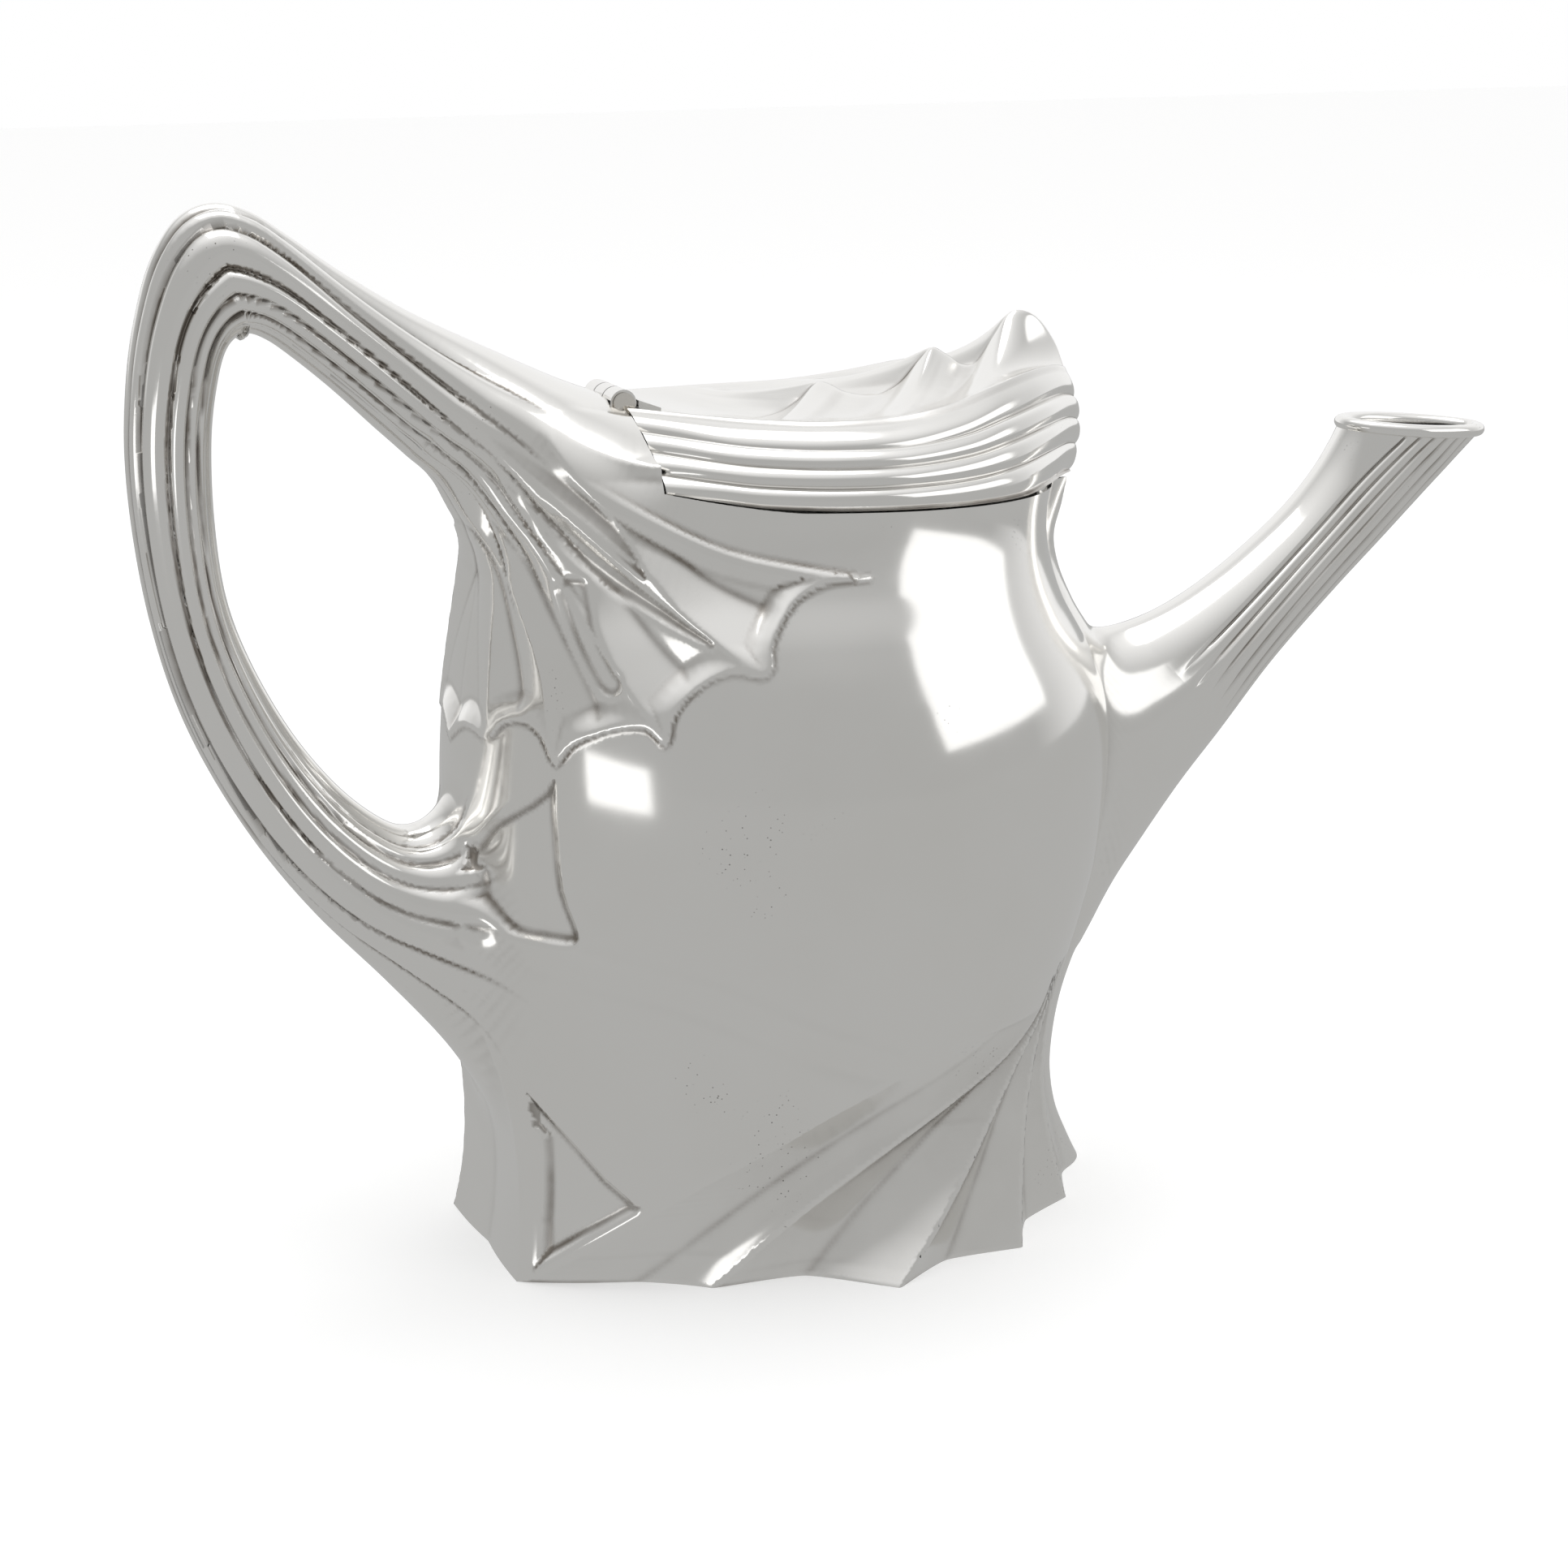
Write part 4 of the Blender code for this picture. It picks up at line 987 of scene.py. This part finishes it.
def held_directions(points, on_edge):
    """For each point, the plane it must stay in, as that plane's normal; zero where it is free."""
    held = np.zeros_like(points)
    rims = np.array([rim_height(x) for x in points[:, 0]])
    flags = []
    for flag, normal in (
            (np.abs(points[:, 1]) < 1e-3, (0.0, 1.0, 0.0)),
            (np.abs(points[:, 2]) < 1e-3, (0.0, 0.0, 1.0)),
            (on_edge & (np.abs(points[:, 0] - SEAM_X) < 1e-3), (1.0, 0.0, 0.0)),
            (on_edge & (np.abs(points[:, 2] - rims) < 1e-3), (0.0, 0.0, 1.0))):
        flags.append(flag)
        held[flag] = normal
    for point, direction in cut_planes():
        flag = on_edge & (np.abs((points - np.array(point)) @ np.array(direction)) < 1e-3)
        held[flag] = direction
        flags.append(flag)
    return held, np.sum(flags, 0)


def build_vessel(material):
    """The vessel's skin: its near half evened out on the form's surface, then mirrored."""
    points, faces, on_edge = trimmed_half()
    held, count = held_directions(points, on_edge)
    free = count < 2
    faces = [tuple(face) for face in faces]
    for _ in range(3):
        drift = smoothed(points, edge_pairs(faces), 2, ~free) - points
        slope = unit(gradient(points, 0.3)[0])
        drift -= (drift * slope).sum(1)[:, None] * slope
        drift -= (drift * held).sum(1)[:, None] * held
        points = points + 0.8 * drift
        points[free] = settle(points[free], held[free], 1)
    points[free] = settle(points[free], held[free], 2)
    normals, groove = surface_marks(points)
    normals = unit(smoothed(normals, edge_pairs(faces), 2))
    normals[np.abs(points[:, 1]) < 1e-3, 1] = 0.0
    points, faces, (normals, groove, held) = mirrored(points, faces, [unit(normals), groove, held])

    def keep_planes(outer, inner, border):
        off = ((inner - outer) * held).sum(1)[:, None] * held
        centre = np.abs(outer[:, 1]) < 1e-3
        off[centre & ~border] = 0.0
        return inner - np.where(border[:, None], off, 0.0)

    skin = shell("vessel_skin", points, faces, normals, groove, material, 14, keep_planes)
    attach(skin, "teapot_body")
    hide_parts("vessel_body")


def level_directions(first, last, count):
    """Level directions from the vessel's axis at even bearings on the near side."""
    turn = np.radians(np.linspace(first, last, count))
    return np.stack([np.sin(turn), -np.cos(turn), np.zeros(count)], -1)


def axis_points(heights):
    return np.stack([np.full(len(heights), AXIS_X), np.zeros(len(heights)), heights], -1)


def build_bottom(material):
    """The plate that closes the vessel above its foot, drawn to the wall all round."""
    directions = level_directions(-90.0, 90.0, 181)
    outline = []
    for height in (BOTTOM_Z - BOTTOM_THICKNESS, BOTTOM_Z):
        centres = axis_points(np.full(len(directions), height))
        outline.append(ray_to_surface(centres, directions, np.full(len(directions), 45.0)))
    reach = np.minimum(*outline) - WALL - BOTTOM_GAP
    shares = np.linspace(0.0, 1.0, 25)
    levels = [(share, BOTTOM_Z) for share in shares]
    levels += [(share, BOTTOM_Z - BOTTOM_THICKNESS) for share in shares[::-1]]
    layers = []
    for share, height in levels:
        ring = directions * (share * reach)[:, None]
        ring[:, 0] += AXIS_X
        ring[:, 2] = height - BOTTOM_DISH * (1.0 - share ** 2)
        layers.append(ring)
    faces = grid_faces(len(levels), len(directions))
    points, faces, _ = mirrored(np.concatenate(layers), faces, [])
    points, faces = without_slivers(points, faces)
    top = points[:, 2] > BOTTOM_Z - BOTTOM_DISH - 0.3
    faces, normals = turned_out(points, faces, top[:, None] * np.array(UP))
    piece = add_mesh("bottom_dish", points, faces, normals, np.zeros(len(points)), material)
    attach(piece, "teapot_body")
    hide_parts("bottom_plate")


# ---------------------------------------------------------------- handle and spout


def angles_between(edges, per_ridge):
    """Angles round a section that hit every groove, closer together near the grooves."""
    share = np.linspace(0.0, 1.0, per_ridge, endpoint=False)
    share = share - 0.6 * np.sin(2.0 * np.pi * share) / (2.0 * np.pi)
    columns = []
    for low, high in zip(edges, edges[1:]):
        columns.append(low[:, None] + (high - low)[:, None] * share[None])
    columns.append(edges[-1][:, None])
    return np.concatenate(columns, 1)


def branch_grid(branch, middle, places, angles, outer_sign, frames=None):
    """Surface points of a branch on rings through its middle line, one column per angle."""
    point, tangent, normal = middle_frame(middle, places)
    if frames is not None:
        normal = frames(point, normal)
    rings, columns = angles.shape
    centres = np.repeat(np.stack([point[:, 0], np.zeros(rings), point[:, 1]], -1), columns, 0)
    _, depth, width, _ = branch.coordinates(centres)
    turn = np.radians(angles).ravel()
    out = np.repeat(np.stack([normal[:, 0], np.zeros(rings), normal[:, 1]], -1), columns, 0) * outer_sign
    spread = (np.sin(turn) * depth)[:, None] * out
    spread[:, 1] -= np.cos(turn) * width
    guess = np.linalg.norm(spread, axis=1)
    directions = spread / guess[:, None]
    return centres + ray_to_surface(centres, directions, guess)[:, None] * directions


def build_handle(material):
    """The two halves of the hollow handle, seamed in the plane of symmetry."""
    rings = 340
    places = np.linspace(HANDLE_START, HANDLE_END, rings)
    edges = [np.full(rings, 90.0)] + read_table(HANDLE_GROOVES, places) + [np.full(rings, -90.0)]
    angles = angles_between(edges, 12)
    points = branch_grid(HANDLE, HANDLE_MIDDLE, places, angles, -1.0)
    points[:, 1] = np.minimum(points[:, 1], 0.0)
    faces = [face[::-1] for face in grid_faces(*angles.shape)]
    normals, groove = surface_marks(points)
    seam = np.zeros(angles.shape, bool)
    seam[:, [0, -1]] = True
    seam = seam.ravel()
    points[seam, 1] = 0.0
    normals[seam, 1] = 0.0
    normals = unit(normals)

    def keep_seam(_outer, inner, _border):
        inner[seam, 1] = 0.0
        return inner

    for side, name in ((1.0, "near"), (-1.0, "far")):
        flip = np.array([1.0, side, 1.0])
        order = faces if side > 0.0 else [face[::-1] for face in faces]
        piece = shell(f"handle_{name}_skin", points * flip, order, normals * flip, groove, material,
                      8, keep_seam)
        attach(piece, "teapot_body")
        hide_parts(f"handle_{name}_half")


def spout_frames(point, normal):
    """Turns the last rings towards the plane of the mouth."""
    mouth = unit(np.array(MOUTH_FRONT) - np.array(MOUTH_BACK))
    share = smooth_step((np.arange(len(point)) / (len(point) - 1) - 0.45) / 0.5)[:, None]
    return unit((1.0 - share) * normal + share * -mouth)


def build_spout(material):
    """The fluted spout, open at both ends; gives back the ring of points round its mouth."""
    rings = 190
    places = np.linspace(SPOUT_START, SPOUT_END, rings)
    steps = (90.0, 57.0) + SPOUT_GROOVES + (-90.0,)
    half = angles_between([np.full(rings, step) for step in steps], 7)
    angles = np.concatenate([half, 180.0 - half[:, -2:0:-1]], 1)
    points = branch_grid(SPOUT, SPOUT_MIDDLE, places, angles, 1.0, spout_frames)
    outward = surface_marks(points)[0]
    faces, _ = turned_out(points, grid_faces(*angles.shape, closed=True), outward)
    lean = np.where(np.cos(np.radians(angles)) < 0.0, 180.0 - angles, angles)
    sink = spout_flutes(lean.ravel(), np.repeat(places, angles.shape[1]))
    points = points - sink[:, None] * outward
    normals = vertex_normals(points, faces)
    groove = np.clip(1.4 * sink - 0.35, 0.0, 1.0)
    piece = shell("spout_skin", points, faces, normals, groove, material, 8)
    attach(piece, "teapot_body")
    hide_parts("spout")
    return points.reshape(rings, -1, 3)[-1]


def build_lip(ring, material):
    """The rolled edge of the mouth: a rounded section carried round the spout's last ring."""
    mouth = unit(np.array([MOUTH_FRONT[0] - MOUTH_BACK[0], 0.0, MOUTH_FRONT[1] - MOUTH_BACK[1]]))
    up = np.array([-mouth[2], 0.0, mouth[0]])
    out = unit(np.cross(np.roll(ring, -1, 0) - np.roll(ring, 1, 0), up[None]))
    out *= np.sign(((ring - ring.mean(0)) * out).sum(1))[:, None]
    turns = np.linspace(0.0, 2.0 * np.pi, 29)[:-1]
    rows = []
    for turn in turns:
        across = LIP_HALF_WIDTH * np.sign(np.cos(turn)) * abs(np.cos(turn)) ** 0.8
        height = LIP_HALF_HEIGHT * np.sin(turn)
        rows.append(ring + (across + LIP_SHIFT) * out + (height + LIP_RISE) * up)
    points = np.stack(rows, 1).reshape(-1, 3)
    faces = [tuple(index % len(points) for index in face)
             for face in grid_faces(len(ring) + 1, len(turns), closed=True)]
    radial = unit(points - np.repeat(ring + LIP_SHIFT * out + LIP_RISE * up, len(turns), 0))
    faces, normals = turned_out(points, faces, radial)
    piece = add_mesh("spout_lip_ring", points, faces, normals, np.zeros(len(points)), material)
    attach(piece, "teapot_body")
    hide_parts("spout_lip")


# ---------------------------------------------------------------- lid


def rim_line():
    """The near half of the vessel's rim, as outer points of the form."""
    directions = level_directions(-54.5, 90.0, 240)
    reach = np.full(len(directions), 40.0)
    heights = np.full(len(directions), 143.0)
    for _ in range(3):
        centres = axis_points(heights - 0.6)
        reach = ray_to_surface(centres, directions, reach)
        line = centres + reach[:, None] * directions
        heights = np.array([rim_height(x) for x in line[:, 0]])
    line[:, 2] = heights
    return line


def lid_curves(station):
    """The lid's rim, the curve its side bulges towards and its shoulder, from the hinge forwards."""
    rim = rim_line()
    rim = rim[np.argsort(rim[:, 0])]
    bow = rim[-1, 0]
    low = [(x, np.interp(x, rim[:, 0], rim[:, 1]), rim_height(x)) for x in LID_RIM_X]
    low.append((bow - 1.0, np.interp(bow - 1.0, rim[:, 0], rim[:, 1]) * 0.9, rim_height(bow)))
    low.append((bow, 0.0, rim_height(bow)))
    curves = []
    for line in (low, LID_BULGE, LID_SHOULDER):
        fine = through(line, 40)
        at = station / (len(line) - 1) * (len(fine) - 1)
        curves.append(np.stack([np.interp(at, np.arange(len(fine)), column) for column in fine.T], -1))
    curves[0][:, 2] += LID_GAP
    return curves


def grid_normals(grid):
    along_rows = np.gradient(grid, axis=0)
    along_columns = np.gradient(grid, axis=1)
    normal = unit(np.cross(along_rows, along_columns))
    if normal[:, :, 1].sum() > 0.0:
        normal = -normal
    return normal


def lid_side(station, curves, side_rows):
    """The lid's fluted side, from its rim up to its shoulder."""
    base, bulge, shoulder = curves
    edges = [np.zeros(len(station))] + read_table(LID_GROOVES, station) + [np.ones(len(station))]
    level = angles_between(edges, side_rows)
    v = level[:, :, None]
    side = (1 - v) ** 2 * base[:, None] + 2 * v * (1 - v) * bulge[:, None] + v ** 2 * shoulder[:, None]
    sink = np.zeros(level.shape)
    for first, second in zip(edges, edges[1:]):
        first, second = first[:, None], second[:, None]
        width = np.maximum(second - first, 1e-3)
        inside = (level >= first) & (level <= second)
        share = np.abs(2.0 * (level - first) / width - 1.0)
        depth = np.minimum(0.22 * width * LID_SIDE_HEIGHT, LID_FLUTE_DEPTH) * share ** 2.6
        sink = np.where(inside, np.maximum(sink, depth), sink)
    sink[:, 0] = 0.35
    sink *= 1.0 - smooth_step((level - 0.86) / 0.14)
    sink *= 1.0 - 0.6 * smooth_step((station[:, None] - 7.0) / 3.0)
    return side - sink[:, :, None] * grid_normals(side)


def lid_top(shoulder, top_rows):
    """The lid's top: a long valley with slanted waves on it that grow towards the crest."""
    share = np.linspace(0.0, 1.0, top_rows + 1)[1:]
    across = 1.0 - (0.75 * share + 0.25 * (1.0 - (1.0 - share) ** 2))
    x = np.repeat(shoulder[:, 0][:, None], top_rows, 1)
    y = -shoulder[:, 1][:, None] * across[None]
    slanted = np.clip(x + WAVE_SLANT * y, -50.0, 42.8)
    valley, floor = [read_table(LID_VALLEY, at.ravel())[0].reshape(x.shape) for at in (x, slanted)]
    top = read_table(LID_TOP, slanted.ravel())[0].reshape(x.shape)
    edge = np.sqrt(across ** 2 + 0.0016) - 0.04
    fin = np.clip(1.0 - edge / 0.98, 0.0, 1.0) ** 1.3
    z = valley + (shoulder[:, 2][:, None] - valley) * across ** 2.2 + np.maximum(top - floor, 0.0) * fin
    return np.stack([x, -y, z], -1)


def clear_hinge(points):
    """Pushes the lid's points out of the room that the hinge barrel turns in."""
    off = points[:, [0, 2]] - np.array([HINGE_X, HINGE_Z])
    gap = np.linalg.norm(off, axis=1)
    inside = (gap < HINGE_ROOM) & (np.abs(points[:, 1]) < HINGE_HALF_LENGTH)
    off[:, 0] = np.maximum(off[:, 0], 0.05)
    off[:, 1] = np.minimum(off[:, 1], -0.3)
    pushed = np.array([HINGE_X, HINGE_Z]) + HINGE_ROOM * unit(off)
    points[inside, 0] = pushed[inside, 0]
    points[inside, 2] = pushed[inside, 1]
    return points


def build_lid(material):
    """The lid's shell, with its near half mirrored to the far side."""
    columns = 420
    station = np.linspace(0.0, 10.0, columns)
    curves = lid_curves(station)
    side = lid_side(station, curves, 14)
    grid = np.concatenate([side, lid_top(curves[2], 44)], 1)
    points = clear_hinge(grid.reshape(-1, 3))
    middle = np.zeros(grid.shape[:2], bool)
    middle[:, -1] = True
    middle[-1, :] = True
    points[middle.ravel(), 1] = 0.0
    points, faces, _ = mirrored(points, grid_faces(*grid.shape[:2]), [])
    points, faces = without_slivers(points, faces)
    faces, normals = turned_out(points, faces, np.array(UP))
    curve = ((smoothed(points, edge_pairs(faces), 6) - points) * normals).sum(1)
    groove = np.clip(curve * 6.0, 0.0, 1.0)

    def keep_edges(outer, inner, border):
        seam = border & (outer[:, 0] < SEAM_X + 1.5)
        inner[seam, 0] = outer[seam, 0]
        low = border & ~seam
        inner[low, 2] = outer[low, 2]
        return inner

    piece = shell("lid_skin", points, faces, normals, groove, material, 30, keep_edges)
    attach(piece, "lid")
    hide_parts("lid_cover")


# ---------------------------------------------------------------- materials


def node_material(name):
    material = bpy.data.materials.new(name)
    material.use_nodes = True
    return material, material.node_tree, material.node_tree.nodes["Principled BSDF"]


def fill(tree, node, inputs):
    """Gives a node's inputs their numbers, their colours or other nodes' outputs."""
    for name, value in inputs.items():
        socket = node.inputs[name]
        if isinstance(value, bpy.types.NodeSocket):
            tree.links.new(value, socket)
        elif socket.type == "RGBA":
            socket.default_value = (*value, 1.0)
        else:
            socket.default_value = value


def add_node(tree, kind, inputs=None, **settings):
    node = tree.nodes.new("ShaderNode" + kind)
    for name, value in settings.items():
        setattr(node, name, value)
    fill(tree, node, inputs or {})
    return node


def noise(tree, scale, detail, roughness):
    """A noise texture in the object's own metres."""
    place = add_node(tree, "TexCoord").outputs["Object"]
    inputs = {"Vector": place, "Scale": scale, "Detail": detail, "Roughness": roughness}
    return add_node(tree, "TexNoise", inputs).outputs["Fac"]


def ramp(tree, source, low, high, start, end):
    """Carries the range from start to end over to the range from low to high."""
    inputs = {"Value": source, "From Min": start, "From Max": end, "To Min": low, "To Max": high}
    return add_node(tree, "MapRange", inputs).outputs["Result"]


def math_node(tree, operation, first, second):
    node = add_node(tree, "Math", {0: first, 1: second}, operation=operation, use_clamp=True)
    return node.outputs["Value"]


def mix_colour(tree, factor, first, second):
    return add_node(tree, "Mix", {0: factor, 6: first, 7: second}, data_type="RGBA").outputs[2]


def bump(tree, height, strength, distance, under=None):
    """A fine unevenness of the surface, on top of another one if that is given."""
    inputs = {"Height": height, "Strength": strength, "Distance": distance}
    if under is not None:
        inputs["Normal"] = under
    return add_node(tree, "Bump", inputs).outputs["Normal"]


def pit_marks(tree):
    """Tiny dark pits, only here and there."""
    place = add_node(tree, "TexCoord").outputs["Object"]
    pits = add_node(tree, "TexVoronoi", {"Vector": place, "Scale": PIT_SCALE})
    speck = ramp(tree, pits.outputs["Distance"], 1.0, 0.0, 0.05, 0.16)
    return math_node(tree, "MULTIPLY", speck, ramp(tree, noise(tree, *PIT_PATCHES), 0.0, 1.0, 0.62, 0.72))


def silver(name, polish, tarnish_share, colour=SILVER_COLOUR):
    """Polished silver: tarnish in the grooves, a thin patchy film, a few pits and hammer waves."""
    material, tree, shader = node_material(name)
    groove = add_node(tree, "Attribute", attribute_name="groove").outputs["Fac"]
    patchy = ramp(tree, noise(tree, *TARNISH_PATCHES), 0.35, 1.25, 0.3, 0.7)
    dirt = math_node(tree, "MULTIPLY", math_node(tree, "MULTIPLY", groove, patchy), tarnish_share)
    film = ramp(tree, noise(tree, *FILM_PATCHES), 0.0, 0.22, 0.45, 0.8)
    shade = mix_colour(tree, film, colour, FILM_COLOUR)
    shade = mix_colour(tree, dirt, shade, TARNISH_COLOUR)
    shade = mix_colour(tree, pit_marks(tree), shade, PIT_COLOUR)
    rough = ramp(tree, noise(tree, *WEAR_PATCHES), polish, polish * 1.7, 0.35, 0.75)
    rough = math_node(tree, "ADD", rough, math_node(tree, "MULTIPLY", dirt, 0.3))
    waves = bump(tree, noise(tree, *HAMMER_WAVES), 0.25, 0.00012)
    uneven = bump(tree, noise(tree, *FINE_GRAIN), 0.12, 0.00001, waves)
    fill(tree, shader, {"Metallic": 1.0, "Base Color": shade, "Roughness": rough, "Normal": uneven})
    return material


# ---------------------------------------------------------------- studio


def studio_floor():
    """A white floor with a faint glow, which the metal mirrors as a plain grey."""
    bpy.ops.mesh.primitive_plane_add(size=FLOOR_SIZE, location=(0.0, 0.0, 0.0))
    floor = bpy.context.object
    floor.name = "studio_floor"
    material, tree, shader = node_material("studio_floor")
    fill(tree, shader, {"Roughness": 0.9, "Base Color": FLOOR_COLOUR, "Emission Color": WHITE,
                        "Emission Strength": FLOOR_GLOW})
    mirrored_in_metal = add_node(tree, "LightPath").outputs["Is Glossy Ray"]
    grey = add_node(tree, "Emission", {"Color": FLOOR_IN_METAL})
    blend = add_node(tree, "MixShader", {0: mirrored_in_metal, 1: shader.outputs[0], 2: grey.outputs[0]})
    tree.links.new(blend.outputs[0], tree.nodes["Material Output"].inputs["Surface"])
    floor.data.materials.append(material)


def aimed(name, data, place, target):
    """A light or a camera at its place, turned towards its target, in metres."""
    thing = bpy.data.objects.new(name, data)
    thing.location = place
    direction = Vector(target) - thing.location
    thing.rotation_euler = direction.to_track_quat("-Z", "Y").to_euler()
    bpy.context.scene.collection.objects.link(thing)
    return thing


def studio_lights():
    for name, place, target, width, height, power in PANELS:
        data = bpy.data.lights.new(name, "AREA")
        data.shape = "RECTANGLE"
        data.size = width
        data.size_y = height
        data.energy = power
        aimed(name, data, place, target)


def studio_world():
    """White paper behind the teapot, a white ceiling and a plain grey room in front of it."""
    world = bpy.data.worlds.new("studio")
    world.use_nodes = True
    tree = world.node_tree
    place = add_node(tree, "TexCoord").outputs["Generated"]
    factors = []
    for axis, start, end in (PAPER_SIDE, CEILING_SIDE):
        facing = add_node(tree, "VectorMath", {0: place, 1: axis}, operation="DOT_PRODUCT")
        factors.append(ramp(tree, facing.outputs["Value"], 0.0, 1.0, start, end))
    shade = mix_colour(tree, math_node(tree, "MAXIMUM", *factors), ROOM_COLOUR, PAPER_COLOUR)
    seen = add_node(tree, "LightPath").outputs["Is Camera Ray"]
    fill(tree, tree.nodes["Background"], {"Color": mix_colour(tree, seen, shade, WHITE)})
    bpy.context.scene.world = world
    bpy.context.scene.view_settings.view_transform = "Standard"


def studio_camera():
    data = bpy.data.cameras.new("camera")
    data.sensor_width = CAMERA_SENSOR
    data.lens = CAMERA_LENS
    bpy.context.scene.camera = aimed("camera", data, CAMERA_PLACE, CAMERA_TARGET)


# ---------------------------------------------------------------- whole object


def main():
    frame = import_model()
    outside = silver("silver_skin", 0.10, 0.85)
    inner = silver("silver_inner", 0.16, 0.9)
    joints = silver("silver_joints", 0.13, 0.9, JOINT_COLOUR)
    for node in frame["nodes"].values():
        for slot in node.material_slots:
            slot.material = joints if "hinge" in slot.name else inner
    build_vessel(outside)
    build_bottom(inner)
    build_handle(outside)
    build_lip(build_spout(outside), outside)
    build_lid(outside)
    studio_floor()
    studio_world()
    studio_lights()
    studio_camera()


main()
